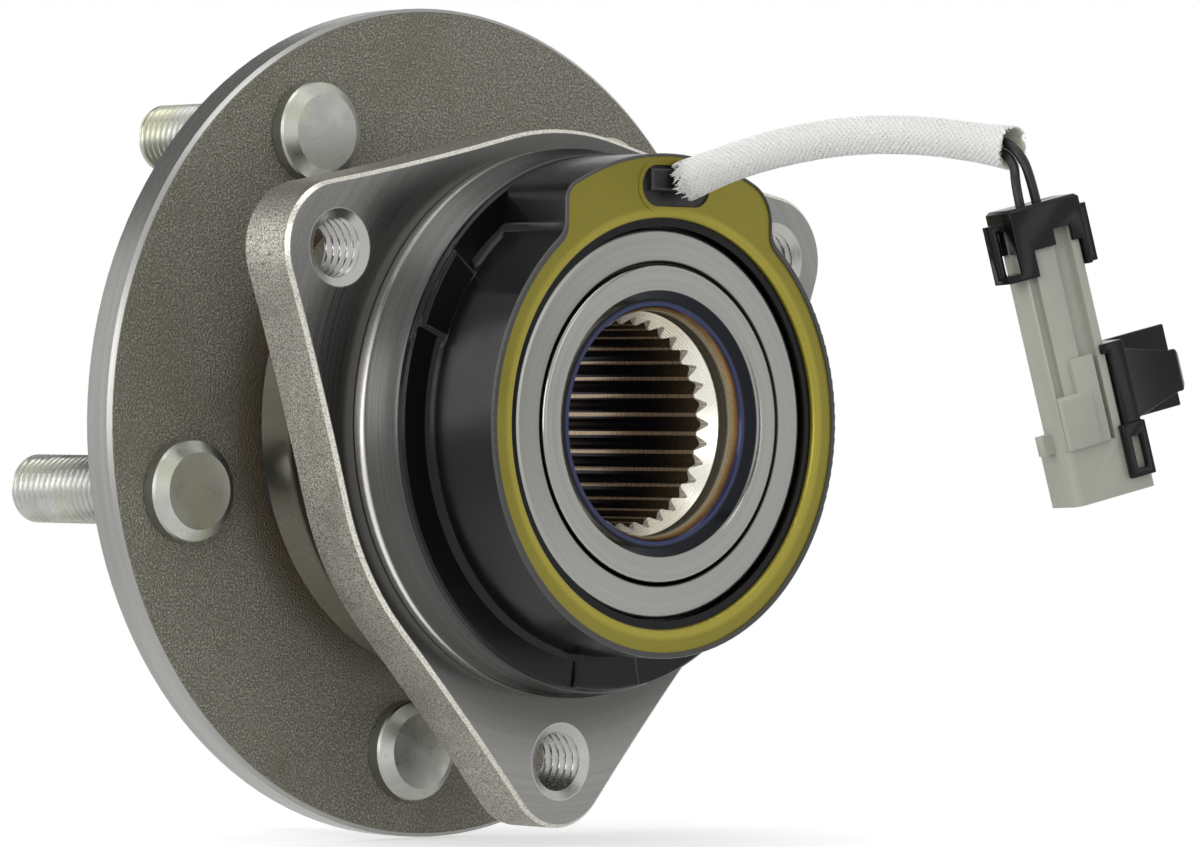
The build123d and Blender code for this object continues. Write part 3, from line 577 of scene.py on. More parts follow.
# Each run: its length, then the points of its route.
wire_runs = {
    "wire_a": (0.0798, [
        (0.0013, -0.0273, 0.0405),
        (0.0013, -0.0300, 0.0405),
        (0.0030, -0.0356, 0.0430),
        (0.0051, -0.0465, 0.0455),
        (0.0076, -0.0605, 0.0472),
        (0.0101, -0.0750, 0.0468),
        (0.0120, -0.0860, 0.0454),
        (0.01275, -0.0916, 0.0447),
        (0.0123, -0.0952, 0.0426),
        (0.01047, -0.09733, 0.03855),
        (0.01154, -0.09779, 0.03399),
    ]),
    "wire_b": (0.0808, [
        (0.0037, -0.0273, 0.0407),
        (0.0037, -0.0300, 0.0407),
        (0.0050, -0.0356, 0.0431),
        (0.0069, -0.0465, 0.0458),
        (0.0092, -0.0605, 0.0479),
        (0.0112, -0.0750, 0.0483),
        (0.0124, -0.0860, 0.0471),
        (0.0127, -0.0922, 0.04645),
        (0.0129, -0.0963, 0.0439),
        (0.01336, -0.09817, 0.03931),
        (0.01442, -0.09863, 0.03475),
    ]),
}
jacket, tree, out = finish_tree("black_wire_sheath")
scuff = noise(tree, on_part(tree), 700.0, 3.0)
principled(tree, out, {
    "Base Color": tone(26, 26, 27),
    "Roughness": slope(tree, scuff, 0.3, 0.7, 0.32, 0.5),
    "Specular IOR Level": 0.35,
})
for label, (length, route) in wire_runs.items():
    wire = route_curve(label + "_sheath", route, wire_steps)
    wire.data.bevel_depth = wire_r
    wire.data.bevel_resolution = wire_roundness
    wire.data.use_fill_caps = True
    wire.data.materials.append(jacket)
    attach(wire, "fixed_ring")
    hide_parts(label)


# Plug housing: light grey nylon, moulded in one piece, with a black rear lock
# and a black clip snapped on. The mould leaves every edge slightly round.
def loose_copy(label, dissolve_deg=0.0):
    """Merged copy of a CAD node's mesh, its flat faces joined where asked."""
    weld = 2e-6
    work = bmesh.new()
    work.from_mesh(nodes[label].data)
    bmesh.ops.remove_doubles(work, verts=work.verts, dist=weld)
    if dissolve_deg:
        bmesh.ops.dissolve_limit(
            work,
            angle_limit=math.radians(dissolve_deg),
            verts=work.verts,
            edges=work.edges,
        )
    mesh = bpy.data.meshes.new(label + "_copy")
    work.to_mesh(mesh)
    work.free()
    return mesh


def smooth_by_angle(mesh, degrees):
    """Smooth shading with the edges above this angle left sharp."""
    mesh.shade_smooth()
    mesh.set_sharp_from_angle(angle=math.radians(degrees))


def eased(label, name, radius, material, body):
    """Stands for a CAD node, with the same faces and its edges rounded."""
    flat_deg, least_deg, sharp_deg = 0.4, 32, 38
    mesh = loose_copy(label, flat_deg)
    obj = bpy.data.objects.new("blank", mesh)
    bpy.context.scene.collection.objects.link(obj)
    rounding = obj.modifiers.new("edges", "BEVEL")
    rounding.width = radius
    rounding.segments = 2
    rounding.limit_method = "ANGLE"
    rounding.angle_limit = math.radians(least_deg)
    rounding.use_clamp_overlap = True
    result = plain_mesh(obj)
    bpy.data.objects.remove(obj)
    smooth_by_angle(result, sharp_deg)
    piece = mesh_piece(name, result, material, body)
    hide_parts(label)
    return piece


grey_nylon, tree, out = finish_tree("grey_nylon")
place = on_part(tree)
cloud = noise(tree, place, 120.0, 3.0)
grain = noise(tree, place, 3200.0, 2.0)
principled(tree, out, {
    "Base Color": blend_tone(tree, cloud, tone(166, 168, 156), tone(150, 153, 141)),
    "Roughness": slope(tree, grain, 0.3, 0.7, 0.36, 0.5),
    "Specular IOR Level": 0.45,
    "Normal": bump(tree, grain, 0.12, 0.00004),
})
black_nylon, tree, out = finish_tree("black_nylon")
place = on_part(tree)
cloud = noise(tree, place, 160.0, 3.0)
grain = noise(tree, place, 2600.0, 2.0)
principled(tree, out, {
    "Base Color": blend_tone(tree, cloud, tone(5, 5, 6), tone(11, 11, 12)),
    "Roughness": slope(tree, cloud, 0.35, 0.65, 0.12, 0.22),
    "Specular IOR Level": 0.22,
    "Normal": bump(tree, grain, 0.15, 0.00004),
})
tinned_brass, tree, out = finish_tree("tinned_brass")
place = on_part(tree)
wiped = noise(tree, place, 900.0, 3.0)
principled(tree, out, {
    "Base Color": blend_tone(tree, wiped, tone(205, 203, 196), tone(176, 172, 160)),
    "Metallic": 1.0,
    "Roughness": slope(tree, wiped, 0.3, 0.7, 0.25, 0.42),
})
silicone, tree, out = finish_tree("red_brown_silicone")
place = on_part(tree)
dust = noise(tree, place, 1500.0, 2.0)
principled(tree, out, {
    "Base Color": blend_tone(tree, dust, tone(96, 58, 46), tone(112, 72, 58)),
    "Roughness": 0.6,
})


def dress(label, material):
    """Gives a CAD node that stays its finish."""
    for seat in nodes[label].material_slots:
        seat.material = material


housing_edge = 0.00022
black_edge = 0.0003
eased(
    "connector_body", "plug_housing", housing_edge,
    grey_nylon, "fixed_ring",
)
eased(
    "connector_rear_lock", "plug_rear_lock", black_edge,
    black_nylon, "fixed_ring",
)
eased(
    "connector_mount_clip", "plug_mount_clip", black_edge,
    black_nylon, "fixed_ring",
)
dress("terminal_pins", tinned_brass)
dress("wire_seals", silicone)


# Sensor cap: deep-drawn sheet steel, dipped in gloss black. The coat is even,
# with faint waves; a grey band painted where the rim is rolled round the cover is its highlight.
def turning(tree):
    """Radius from the spin axis and place along it, in mm, with the plain place."""
    place = on_part(tree)
    parts = add(tree, "ShaderNodeSeparateXYZ", {0: place}).outputs
    flat = add(tree, "ShaderNodeCombineXYZ", {0: parts[0], 2: parts[2]}).outputs[0]
    length = add(tree, "ShaderNodeVectorMath", {0: flat}, operation="LENGTH")
    radius = calc(tree, "MULTIPLY", length.outputs["Value"], 1000.0)
    along = calc(tree, "MULTIPLY", parts[1], 1000.0)
    return radius, along, place


def below(tree, value, low, high):
    """1 below low, falling to 0 at high."""
    return slope(tree, value, low, high, 1.0, 0.0)


def both(tree, first, second):
    """Share where two zones overlap."""
    return calc(tree, "MULTIPLY", first, second)


def within(tree, value, low, high, soft):
    """1 between low and high, with soft edges."""
    rise = slope(tree, value, low - soft, low + soft)
    return both(tree, rise, below(tree, value, high - soft, high + soft))


cap_rim_fade = (-26.3, -26.1)
cap_rim_highlight = 0.35
gloss_black, tree, out = finish_tree("gloss_black_dip")
radius, along, place = turning(tree)
wave = noise(tree, place, 130.0, 2.0)
speck = noise(tree, place, 2200.0, 2.0)
# The grey band at the rolled rim is a painted highlight.
rim_highlight = slope(tree, along, *cap_rim_fade, cap_rim_highlight, 0.0)
principled(tree, out, {
    "Base Color": blend_tone(tree, rim_highlight, tone(9, 9, 10), tone(120, 120, 118)),
    "Roughness": slope(tree, wave, 0.3, 0.7, 0.2, 0.28),
    "Specular IOR Level": 0.23,
    "Normal": bump(tree, wave, 0.05, 0.0004, bump(tree, speck, 0.06, 0.00003)),
})


def flat_ends(mesh):
    """Faces square to the spin axis shade flat, so that round edges stay narrow."""
    for face in mesh.polygons:
        if abs(face.normal.y) > 0.9999:
            face.use_smooth = False


def burnished(label, name, material, body, sharp_deg=28, rims=()):
    """Stands for a CAD node: its own faces, merged and smoothly shaded.

    Each of rims is (radius, y, width): a turned edge that is broken to that width.
    """
    close = 2e-5
    flat_deg = 0.05
    mesh = loose_copy(label, flat_deg if rims else 0.0)
    work = bmesh.new()
    work.from_mesh(mesh)
    for rim_r, rim_y, width in rims:
        edges = []
        for edge in work.edges:
            off_y = max(abs(v.co.y - rim_y) for v in edge.verts)
            off_r = max(abs(math.hypot(v.co.x, v.co.z) - rim_r) for v in edge.verts)
            if off_y < close and off_r < close:
                edges.append(edge)
        bmesh.ops.bevel(
            work, geom=edges, offset=width, offset_type="OFFSET", segments=3,
            profile=0.5, affect="EDGES", clamp_overlap=True,
        )
    work.to_mesh(mesh)
    work.free()
    smooth_by_angle(mesh, sharp_deg)
    flat_ends(mesh)
    piece = mesh_piece(name, mesh, material, body)
    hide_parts(label)
    return piece


burnished("sensor_cap", "sensor_cap_shell", gloss_black, "fixed_ring")


# Cover: thin sheet steel with a yellow passivated zinc plate, rolled over at
# its inner edge. The plate is olive, and the roll is painted a brighter gold as its highlight.
cover_roll_radii = (33.9, 36.3)
yellow_zinc, tree, out = finish_tree("yellow_zinc")
radius, along, place = turning(tree)
patch = noise(tree, place, 55.0, 4.0, 0.6)
fleck = noise(tree, place, 1500.0, 3.0)
roll_highlight = within(tree, radius, *cover_roll_radii, 0.5)
plate_tone = blend_tone(tree, patch, tone(124, 116, 44), tone(138, 130, 52))
# The roll's brighter gold is a painted highlight.
plate_tone = blend_tone(tree, roll_highlight, plate_tone, tone(156, 146, 60))
plate_tone = blend_tone(
    tree, slope(tree, fleck, 0.62, 0.8, 0.0, 0.35), plate_tone, tone(96, 88, 36)
)
principled(tree, out, {
    "Base Color": plate_tone,
    "Metallic": 0.75,
    "Roughness": slope(tree, patch, 0.3, 0.7, 0.36, 0.48),
    "Normal": bump(tree, fleck, 0.12, 0.00005),
})
burnished(
    "sensor_cover", "sensor_cover_plate", yellow_zinc, "fixed_ring",
    sharp_deg=40,
)


# Grommet and seals: the grommet is black rubber moulded round the wires, with a
# raised land at the end of the slot that the sleeve leaves bare. The seals' lips
# are harder rubber, greased and shiny.
rubber, tree, out = finish_tree("black_rubber")
place = on_part(tree)
bloom = noise(tree, place, 400.0, 3.0)
principled(tree, out, {
    "Base Color": blend_tone(tree, bloom, tone(18, 18, 18), tone(36, 36, 36)),
    "Roughness": slope(tree, bloom, 0.3, 0.7, 0.3, 0.5),
    "Specular IOR Level": 0.4,
})
dress("wire_grommet", rubber)
seal_rubber, tree, out = finish_tree("seal_rubber")
place = on_part(tree)
bloom = noise(tree, place, 300.0, 3.0)
principled(tree, out, {
    "Base Color": blend_tone(tree, bloom, tone(5, 5, 5), tone(11, 11, 11)),
    "Roughness": slope(tree, bloom, 0.3, 0.7, 0.16, 0.26),
    "Specular IOR Level": 0.2,
})
dress("inboard_seal", seal_rubber)
dress("outboard_seal_lip", seal_rubber)


# Inner ring: bearing steel, hardened and ground. Its end face is ground in
# fine circles; the groove beside the spindle's lip is painted dark, as shade.
def tool_marks(tree, radius, along, place, per_mm, drift=25.0):
    """Fine circular marks, as a tool leaves them, that wander round the part."""
    fine_radius = calc(tree, "MULTIPLY", radius, per_mm)
    fine_along = calc(tree, "MULTIPLY", along, per_mm)
    marks = add(tree, "ShaderNodeCombineXYZ", {0: fine_radius, 1: fine_along}).outputs[0]
    slow = add(tree, "ShaderNodeVectorMath", {0: place, "Scale": drift}, operation="SCALE")
    lines = add(tree, "ShaderNodeVectorMath", {0: marks, 1: slow.outputs[0]}, operation="ADD")
    return noise(tree, lines.outputs[0], 1.0, 3.0, 0.65)


def round_grain(tree, place):
    """Direction round the spin axis, for a turned face's sheen."""
    parts = add(tree, "ShaderNodeSeparateXYZ", {0: place}).outputs
    back = calc(tree, "MULTIPLY", parts[0], -1.0)
    way = add(tree, "ShaderNodeCombineXYZ", {0: parts[2], 2: back}).outputs[0]
    turn = add(
        tree, "ShaderNodeVectorTransform", {0: way},
        vector_type="VECTOR", convert_from="OBJECT", convert_to="WORLD",
    )
    return turn.outputs[0]


groove_radii = (26.8, 27.6)
ground_steel, tree, out = finish_tree("ground_steel")
radius, along, place = turning(tree)
marks = tool_marks(tree, radius, along, place, 9.0)
wide_marks = tool_marks(tree, radius, along, place, 1.2, 12.0)
steel_tone = blend_tone(tree, wide_marks, tone(140, 141, 137), tone(164, 164, 161))
groove_shade = within(tree, radius, *groove_radii, 0.15)
# The groove is painted dark: painted shade in the recess.
steel_tone = blend_tone(tree, groove_shade, steel_tone, tone(40, 40, 40))
principled(tree, out, {
    "Base Color": steel_tone,
    "Metallic": 1.0,
    "Roughness": slope(tree, marks, 0.25, 0.75, 0.24, 0.4),
    "Anisotropic": 0.55,
    "Tangent": round_grain(tree, place),
    "Normal": bump(tree, marks, 0.12, 0.00002),
})
ring_face_y = -0.0246
ring_edges = ((0.0325, ring_face_y, 0.0005), (0.0273, ring_face_y, 0.0003))
burnished(
    "inner_ring", "inner_ring_ground", ground_steel, "hub",
    rims=ring_edges,
)


# Hub spindle: forged carbon steel. The flange's inboard face keeps its rough
# forged skin; the rim, pilots, bore and rolled lip are turned bright, and the hardening left
# tints in the bore.
# The blue and brown ring at the root is partly heat tint and partly painted shadow under the
# outer ring.
def forged_skin(tree, place, grit):
    """Height of a shot-blasted forged skin."""
    coarse = noise(tree, place, 2700.0 / grit, 2.0, 0.55)
    fine = noise(tree, place, 5200.0 / grit, 2.0, 0.6)
    return calc(tree, "MULTIPLY_ADD", coarse, 0.75, both(tree, fine, 0.25))


def colour_ramp(tree, value, stops):
    """Colour along a value from 0 to 1."""
    node = add(tree, "ShaderNodeValToRGB", {0: value})
    scale = node.color_ramp
    for k, (at, colour) in enumerate(stops):
        stop = scale.elements[k] if k < 2 else scale.elements.new(at)
        stop.position = at
        stop.color = colour
    return node.outputs[0]


# Where each surface lies, in mm from the axis or along it.
skin_radii = (33.4, 71.75)
skin_depths = (25.0, 33.55)
root_reach = (34.0, 50.0)
root_fade = (44.0, 50.0)
bore_ends = (-26.0, 34.0)
bore_wall_fade = (20.6, 20.9)
bore_end_fade = (36.0, 36.4)
cone_depths = (-18.75, -15.3)
crest_fade = (16.97, 17.02)
crest_start = (-15.7, -15.5)
lip_cone_radii = (20.0, 22.55)
lip_cone_fade = (-22.0, -21.0)
lip_start = (19.5, 20.0)
lip_fade = (-23.0, -22.6)
blue_radii = (19.8, 20.6)
blue_fade = (-23.3, -23.1)
spindle_steel, tree, out = finish_tree("spindle_steel")
radius, along, place = turning(tree)
marks = tool_marks(tree, radius, along, place, 7.0)
wide_marks = tool_marks(tree, radius, along, place, 0.9, 14.0)
skin = forged_skin(tree, place, 1.0)
blotch = noise(tree, place, 45.0, 4.0, 0.6)
forged = both(
    tree,
    within(tree, radius, *skin_radii, 0.12),
    within(tree, along, *skin_depths, 0.1),
)
bore = both(
    tree,
    below(tree, radius, *bore_wall_fade),
    below(tree, along, *bore_end_fade),
)
lip_cone = both(
    tree,
    within(tree, radius, *lip_cone_radii, 0.1),
    below(tree, along, *lip_cone_fade),
)
turned_tone = blend_tone(tree, wide_marks, tone(136, 137, 134), tone(166, 166, 162))
# The skin's raised grains are painted light: painted glints over the skin's own tone.
skin_tone = blend_tone(tree, slope(tree, skin, 0.42, 0.7), tone(100, 98, 88), tone(176, 173, 158))
rust = slope(tree, blotch, 0.4, 0.75, 0.0, 0.4)
skin_tone = blend_tone(tree, rust, skin_tone, tone(98, 92, 74))
# The root ring is partly the hardening's blue and brown tint and partly painted shadow under the
# outer ring.
root_edge = calc(tree, "MULTIPLY_ADD", blotch, 2.4, radius)
root_tint_and_shade = colour_ramp(tree, slope(tree, root_edge, *root_reach), [
    (0.0, tone(84, 82, 84)),
    (1.0, tone(104, 99, 84)),
    (0.18, tone(72, 74, 92)),
    (0.36, tone(76, 74, 84)),
    (0.48, tone(104, 86, 58)),
    (0.62, tone(96, 86, 66)),
])
near_root = below(tree, root_edge, *root_fade)
skin_tone = blend_tone(tree, both(tree, near_root, 0.8), skin_tone, root_tint_and_shade)
bore_place = calc(tree, "MULTIPLY_ADD", blotch, 1.6, calc(tree, "SUBTRACT", along, 0.8))
bore_reach = {"Value": bore_place, 1: bore_ends[0], 2: bore_ends[1]}
bore_depth = add(tree, "ShaderNodeMapRange", bore_reach).outputs[0]
# The near-white stops by the mouth and relief are partly bare turned steel and partly a painted
# highlight.
bore_tones = colour_ramp(tree, bore_depth, [
    (0.0, tone(44, 50, 84)),
    (1.0, tone(110, 84, 50)),
    (0.0417, tone(52, 60, 104)),
    (0.050, tone(84, 62, 60)),
    (0.058, tone(170, 128, 66)),
    (0.068, tone(232, 214, 176)),
    (0.078, tone(226, 214, 184)),
    (0.086, tone(112, 108, 94)),
    (0.122, tone(100, 96, 82)),
    (0.135, tone(92, 82, 62)),
    (0.21, tone(84, 72, 52)),
    (0.30, tone(56, 48, 38)),
    (0.38, tone(34, 32, 40)),
    (0.62, tone(30, 30, 40)),
    (0.80, tone(62, 48, 34)),
])
facing = add(tree, "ShaderNodeTexCoord").outputs["Normal"]
facing = add(tree, "ShaderNodeSeparateXYZ", {0: facing}).outputs[1]
# The lead-in cone's faces that look outboard are painted near-white: partly bright turned steel,
# partly a painted highlight.
lead_in_highlight = both(
    tree,
    below(tree, facing, -0.3, -0.12),
    within(tree, along, *cone_depths, 0.1),
)
# The teeth's crests are painted light: partly bare steel, partly a painted highlight.
crest_highlight = both(
    tree,
    below(tree, radius, *crest_fade),
    slope(tree, along, *crest_start),
)
bore_tones = blend_tone(tree, crest_highlight, bore_tones, tone(190, 168, 140))
bore_tones = blend_tone(tree, lead_in_highlight, bore_tones, tone(240, 237, 226))
spindle_tone = blend_tone(tree, forged, turned_tone, skin_tone)
spindle_tone = blend_tone(tree, bore, spindle_tone, bore_tones)
# The lip's inner chamfer is painted near-black, as a painted dark reflection.
spindle_tone = blend_tone(tree, lip_cone, spindle_tone, tone(36, 37, 40))
blue_ring = both(
    tree,
    within(tree, radius, *blue_radii, 0.12),
    below(tree, along, *blue_fade),
)
spindle_tone = blend_tone(tree, blue_ring, spindle_tone, tone(50, 56, 90))
lip_zone = both(
    tree,
    below(tree, along, *lip_fade),
    slope(tree, radius, *lip_start),
)
turned_rough = slope(tree, marks, 0.25, 0.75, 0.2, 0.36)
turned_rough = calc(tree, "MULTIPLY_ADD", lip_zone, -0.13, turned_rough)
forged_rough = slope(tree, skin, 0.3, 0.7, 0.44, 0.3)
rough = add(
    tree, "ShaderNodeMix", {0: forged, 2: turned_rough, 3: forged_rough}, data_type="FLOAT"
).outputs[0]
turned_bump = bump(tree, marks, 0.1, 0.00002)
skin_lift = both(tree, skin, forged)
oxide = calc(tree, "MAXIMUM", both(tree, bore, 0.35), both(tree, forged, 0.6))
principled(tree, out, {
    "Base Color": spindle_tone,
    "Metallic": calc(tree, "MULTIPLY_ADD", oxide, -1.0, 1.0),
    "Roughness": rough,
    "Anisotropic": 0.35,
    "Tangent": round_grain(tree, place),
    "Normal": bump(tree, skin_lift, 1.0, 0.0006, turned_bump),
})
lip_face_y = -0.0250
lip_edges = ((0.0269, lip_face_y, 0.0006), (0.0231, lip_face_y, 0.0007))
spindle = burnished(
    "hub_spindle", "hub_spindle_steel", spindle_steel, "hub",
    rims=lip_edges,
)
# The teeth's lead-in is one cone, so its corners take the cone's own direction.
cone_far_r = 0.0192
cone_low_y = -0.0190
cone_high_y = -0.0152
cone_lean = 0.715
cone_facing = -0.3
normals = [corner.vector.copy() for corner in spindle.data.corner_normals]
for face in spindle.data.polygons:
    far = math.hypot(face.center.x, face.center.z)
    in_reach = far < cone_far_r and cone_low_y < face.center.y < cone_high_y
    if in_reach and face.normal.y < cone_facing:
        for loop in face.loop_indices:
            spot = spindle.data.vertices[spindle.data.loops[loop].vertex_index].co
            lean = cone_lean * math.hypot(spot.x, spot.z)
            normals[loop] = Vector((-spot.x, -lean, -spot.z)).normalized()
spindle.data.normals_split_custom_set(normals)


# Wheel studs: five M12 x 1.5 studs of heat-treated steel, zinc plated, pressed
# into the flange from inboard. Rolled threads run to a chamfered tip.
stud_pcd_r = 0.0575
stud_first_deg = 47.9
stud_count = 5
stud_head_y = 0.0290
stud_seat_y = 0.0333
stud_face_y = 0.0400
stud_tip_y = 0.0745
stud_head_r = 0.0088
stud_bevel = 0.00165
stud_flat_r = 0.0066
stud_head_corner = 0.00025
stud_press_r = 0.0064
stud_press_gap = 0.0001
stud_thread_r = 0.00595
stud_root_r = 0.00512
stud_pitch = 0.0015
stud_fade = 0.0012
stud_tip_cone = 0.0014
stud_sides = 40
stud_rows_per_turn = 8
stud_sharp_deg = 22


def screw_rows(start, end, pitch, rows_per_turn, crest, root, fade):
    """Rows (y, crest, root) of a thread that fades in and out at its ends."""
    count = int((end - start) / pitch * rows_per_turn)
    rows = []
    for k in range(count + 1):
        y = start + (end - start) * k / count
        depth = min(1.0, (y - start) / fade, (end - y) / fade)
        rows.append((y, crest, crest + (root - crest) * depth))
    return rows


def screw_mesh(rows, sides, pitch, centre, verts, faces):
    """Closed turned body whose rows may wind as a thread; adds to verts, faces."""
    steepness, root_flat = 2.5, 0.12
    first = len(verts)
    for y, crest, root in rows:
        for side in range(sides):
            angle = 2 * math.pi * side / sides
            phase = (y / pitch - side / sides) % 1.0
            rise = min(1.0, max(0.0, steepness * abs(phase - 0.5) - root_flat))
            r = root + (crest - root) * rise
            verts.append((centre[0] + r * math.cos(angle), y, centre[1] + r * math.sin(angle)))
    for row in range(len(rows) - 1):
        for side in range(sides):
            a = first + row * sides + side
            b = first + row * sides + (side + 1) % sides
            faces.append((a, a + sides, b + sides, b))
    last = first + (len(rows) - 1) * sides
    poles = len(verts)
    verts.append((centre[0], rows[0][0], centre[1]))
    verts.append((centre[0], rows[-1][0], centre[1]))
    for side in range(sides):
        after = (side + 1) % sides
        faces.append((poles, first + side, first + after))
        faces.append((poles + 1, last + after, last + side))


zinc, tree, out = finish_tree("zinc_plate")
place = on_part(tree)
bloom = noise(tree, place, 260.0, 4.0, 0.6)
spots = noise(tree, place, 1100.0, 3.0, 0.6)
tint = noise(tree, place, 75.0, 3.0)
zinc_tone = blend_tone(tree, bloom, tone(186, 188, 184), tone(160, 162, 156))
gold = slope(tree, tint, 0.45, 0.8, 0.0, 0.6)
zinc_tone = blend_tone(tree, gold, zinc_tone, tone(186, 184, 140))
dull = slope(tree, spots, 0.6, 0.75, 0.0, 0.45)
zinc_tone = blend_tone(tree, dull, zinc_tone, tone(120, 122, 118))
principled(tree, out, {
    "Base Color": zinc_tone,
    "Metallic": 1.0,
    "Roughness": slope(tree, bloom, 0.3, 0.7, 0.26, 0.42),
    "Normal": bump(tree, spots, 0.2, 0.00004, bump(tree, bloom, 0.2, 0.0001)),
})
verts, faces = [], []
for k in range(stud_count):
    angle = math.radians(stud_first_deg + 360 / stud_count * k)
    centre = (stud_pcd_r * math.cos(angle), stud_pcd_r * math.sin(angle))
    rows = []
    for y, r in (
        (stud_head_y, 0.6 * stud_flat_r),
        (stud_head_y, stud_flat_r),
        (stud_head_y + stud_bevel - 0.0002, stud_head_r - stud_head_corner),
        (stud_head_y + stud_bevel + 0.0003, stud_head_r),
        (stud_seat_y - stud_press_gap, stud_head_r),
        (stud_seat_y - stud_press_gap, stud_press_r),
        (stud_face_y - 0.0018, stud_press_r),
        (stud_face_y - 0.0006, stud_thread_r),
    ):
        rows.append((y, r, r))
    rows += screw_rows(
        stud_face_y, stud_tip_y - stud_fade, stud_pitch, stud_rows_per_turn,
        stud_thread_r, stud_root_r, stud_fade,
    )
    for y, r in (
        (stud_tip_y - 0.0011, stud_thread_r),
        (stud_tip_y - 0.0001, stud_thread_r - 0.0011),
        (stud_tip_y, stud_thread_r - stud_tip_cone),
    ):
        rows.append((y, r, r))
    screw_mesh(rows, stud_sides, stud_pitch, centre, verts, faces)
studs = new_piece("wheel_studs_zinc", verts, faces, zinc, "hub")
smooth_by_angle(studs.data, stud_sharp_deg)
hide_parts("wheel_studs")


# Outer ring: forged bearing steel with three tapped lugs, M12 x 1.75. Its
# knuckle face, pilot and neck are turned; the lugs' sides keep the blasted skin,
# and their edges are painted light, partly bare metal and partly a painted highlight.
lug_pcd_r = 0.058
lug_first_deg = 30.0
lug_count = 3
lug_thick = 0.0108
lug_minor_r = 0.0051
lug_major_r = 0.00602
lug_pitch = 0.00175
lug_thread_start = 0.00095
lug_fade = 0.0004
lug_sides = 48
lug_rows_per_turn = 10
lug_past_back = 0.001
lug_crest_gap = 0.00003
lug_core_gap = 0.0004
lug_sink_fade = (0.0066, 0.0068)
ring_sharp_deg = 18
# Where each surface lies, in mm from the axis or along it.
side_depths = (0.72, 18.0)
edge_depths = (0.08, 0.72)
body_fade = (44.3, 44.7)
shade_fade = (48.0, 60.0)
relief_fade = (-3.0, -2.0)
pilot_fade = (-0.3, -0.1)
neck_fade = (19.0, 20.5)
outer_steel, tree, out = finish_tree("outer_ring_steel")
radius, along, place = turning(tree)
marks = tool_marks(tree, radius, along, place, 6.0)
wide_marks = tool_marks(tree, radius, along, place, 0.8, 16.0)
skin = forged_skin(tree, place, 0.85)
soot = noise(tree, place, 60.0, 3.0, 0.6)
side_zone = both(
    tree,
    within(tree, along, *side_depths, 0.06),
    slope(tree, radius, *body_fade),
)
hole_zone = 0.0
flat = add(tree, "ShaderNodeVectorMath", {0: place, 1: (1, 0, 1)}, operation="MULTIPLY")
for k in range(lug_count):
    angle = math.radians(lug_first_deg + 360 / lug_count * k)
    centre = (lug_pcd_r * math.cos(angle), 0.0, lug_pcd_r * math.sin(angle))
    ends = {0: flat.outputs[0], 1: centre}
    reach = add(tree, "ShaderNodeVectorMath", ends, operation="DISTANCE")
    near = below(tree, reach.outputs["Value"], *lug_sink_fade)
    hole_zone = calc(tree, "MAXIMUM", hole_zone, near)
side_zone = both(tree, side_zone, calc(tree, "SUBTRACT", 1.0, hole_zone))
face_tone = blend_tone(tree, wide_marks, tone(122, 122, 120), tone(150, 150, 147))
# The knuckle face is painted darker towards the pilot: painted shade.
near_pilot = slope(tree, radius, *shade_fade, 0.85, 0.0)
face_tone = blend_tone(tree, near_pilot, face_tone, tone(74, 74, 72))
# The skin's raised grains are painted light: painted glints over the skin's own tone.
side_tone = blend_tone(
    tree, slope(tree, skin, 0.34, 0.66), tone(112, 108, 98), tone(196, 193, 184)
)
sooted = slope(tree, soot, 0.4, 0.75, 0.0, 0.5)
side_tone = blend_tone(tree, sooted, side_tone, tone(110, 106, 98))
# The pilot and neck are painted near-white: partly bright turned steel, partly a painted
# highlight.
pilot_tone = blend_tone(tree, marks, tone(206, 203, 196), tone(236, 234, 228))
# The relief behind the pilot is painted dark: painted shade.
relief_zone = below(tree, along, *relief_fade)
relief_tone = blend_tone(tree, wide_marks, tone(62, 62, 61), tone(88, 88, 86))
pilot_tone = blend_tone(tree, relief_zone, pilot_tone, relief_tone)
ring_tone = blend_tone(tree, side_zone, face_tone, side_tone)
pilot_zone = below(tree, along, *pilot_fade)
neck_zone = slope(tree, along, *neck_fade)
turned_zone = calc(tree, "MAXIMUM", pilot_zone, neck_zone)
ring_tone = blend_tone(tree, turned_zone, ring_tone, pilot_tone)
edge_zone = both(
    tree,
    within(tree, along, *edge_depths, 0.06),
    slope(tree, radius, *body_fade),
)
# The lugs' chamfered edges are painted light: partly bare metal, partly a painted highlight.
edge_tone = blend_tone(
    tree, slope(tree, skin, 0.3, 0.6), tone(158, 155, 147), tone(218, 215, 205)
)
ring_tone = blend_tone(tree, edge_zone, ring_tone, edge_tone)
ring_tone = blend_tone(tree, hole_zone, ring_tone, tone(176, 175, 172))
turned_rough = slope(tree, marks, 0.25, 0.75, 0.2, 0.36)
turned_rough = calc(tree, "MULTIPLY_ADD", neck_zone, -0.08, turned_rough)
side_rough = slope(tree, skin, 0.3, 0.7, 0.5, 0.34)
rough = add(
    tree, "ShaderNodeMix", {0: side_zone, 2: turned_rough, 3: side_rough}, data_type="FLOAT"
).outputs[0]
skin_lift = both(tree, skin, side_zone)
principled(tree, out, {
    "Base Color": ring_tone,
    "Metallic": 1.0,
    "Roughness": rough,
    "Anisotropic": 0.5,
    "Tangent": round_grain(tree, place),
    "Normal": bump(tree, skin_lift, 0.8, 0.0002, bump(tree, marks, 0.16, 0.00002)),
})
ring_mesh = loose_copy("outer_ring")
verts, faces = [], []
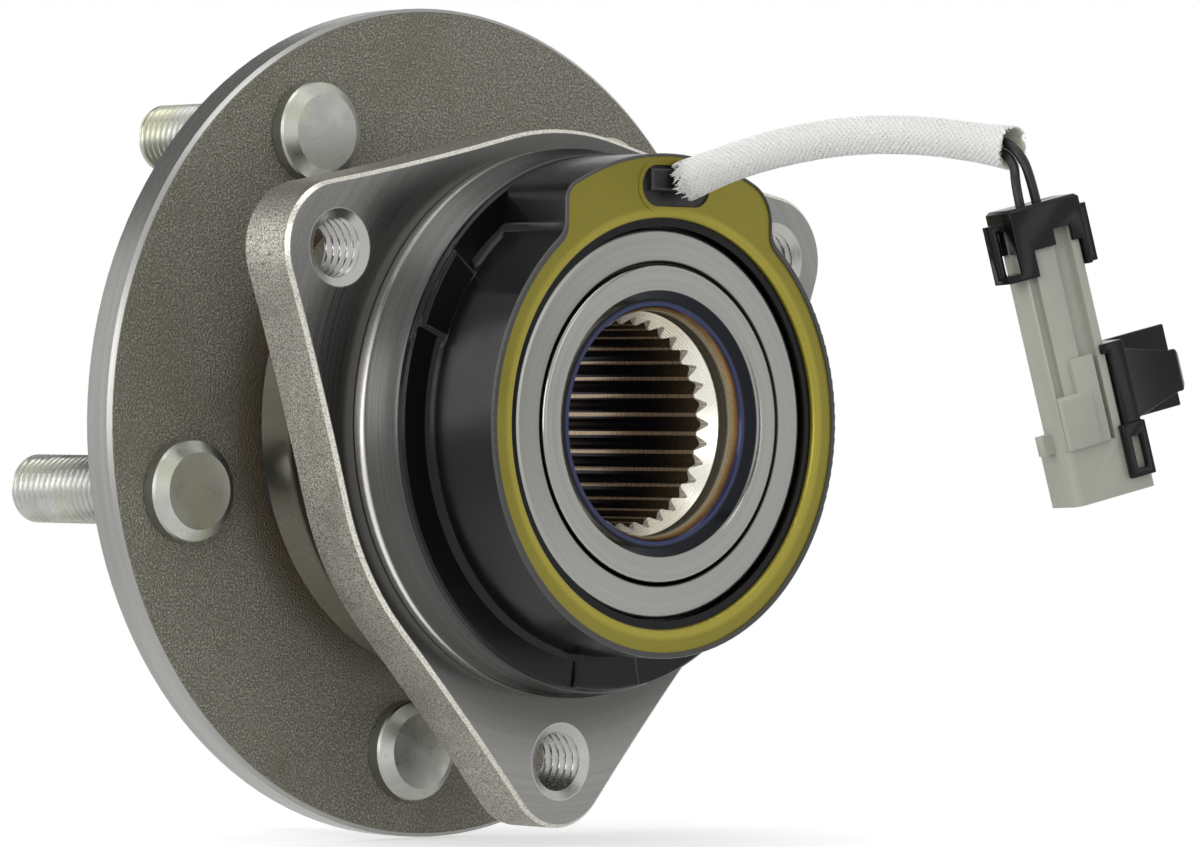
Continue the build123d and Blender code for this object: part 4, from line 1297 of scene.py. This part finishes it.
for k in range(lug_count):
    angle = math.radians(lug_first_deg + 360 / lug_count * k)
    centre = (lug_pcd_r * math.cos(angle), lug_pcd_r * math.sin(angle))
    core_r = lug_minor_r - lug_core_gap
    rows = [(lug_thread_start, core_r, core_r)]
    rows += screw_rows(
        lug_thread_start, lug_thick + lug_past_back, lug_pitch, lug_rows_per_turn,
        lug_major_r, lug_minor_r + lug_crest_gap, lug_fade,
    )
    screw_mesh(rows, lug_sides, lug_pitch, centre, verts, faces)
tap = bpy.data.meshes.new("tap")
tap.from_pydata(verts, [], faces)
tap.update()
tap_obj = bpy.data.objects.new("tap", tap)
ring_obj = bpy.data.objects.new("ring", ring_mesh)
for obj in (tap_obj, ring_obj):
    bpy.context.scene.collection.objects.link(obj)
cut = ring_obj.modifiers.new("threads", "BOOLEAN")
cut.operation = "DIFFERENCE"
cut.solver = "EXACT"
cut.object = tap_obj
ring_mesh = plain_mesh(ring_obj)
for obj in (tap_obj, ring_obj):
    bpy.data.objects.remove(obj)
smooth_by_angle(ring_mesh, ring_sharp_deg)
flat_ends(ring_mesh)
outer = mesh_piece("outer_ring_steel", ring_mesh, outer_steel, "fixed_ring")
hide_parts("outer_ring")


# Inside: polished balls in moulded cages, the outboard seal's case, the tone
# ring that turns with the hub, and the sensor's coil with its pole ring.
polished, tree, out = finish_tree("polished_balls")
place = on_part(tree)
smear = noise(tree, place, 300.0, 2.0)
principled(tree, out, {
    "Base Color": tone(196, 196, 198),
    "Metallic": 1.0,
    "Roughness": slope(tree, smear, 0.3, 0.7, 0.06, 0.14),
})
cage_nylon, tree, out = finish_tree("cage_nylon")
place = on_part(tree)
grain = noise(tree, place, 1800.0, 3.0)
principled(tree, out, {
    "Base Color": blend_tone(tree, grain, tone(60, 84, 60), tone(74, 100, 72)),
    "Roughness": 0.45,
    "Normal": bump(tree, grain, 0.15, 0.00004),
})
sintered, tree, out = finish_tree("sintered_steel")
place = on_part(tree)
pores = noise(tree, place, 2400.0, 3.0)
principled(tree, out, {
    "Base Color": blend_tone(tree, pores, tone(92, 90, 86), tone(128, 126, 120)),
    "Metallic": 1.0,
    "Roughness": 0.45,
    "Normal": bump(tree, pores, 0.3, 0.00004),
})
for label in ("outboard_balls", "inboard_balls"):
    dress(label, polished)
for label in ("outboard_cage", "inboard_cage"):
    dress(label, cage_nylon)
for label in ("tone_ring", "sensor_pole_ring", "outboard_seal_case"):
    dress(label, sintered)
dress("sensor_coil", black_nylon)
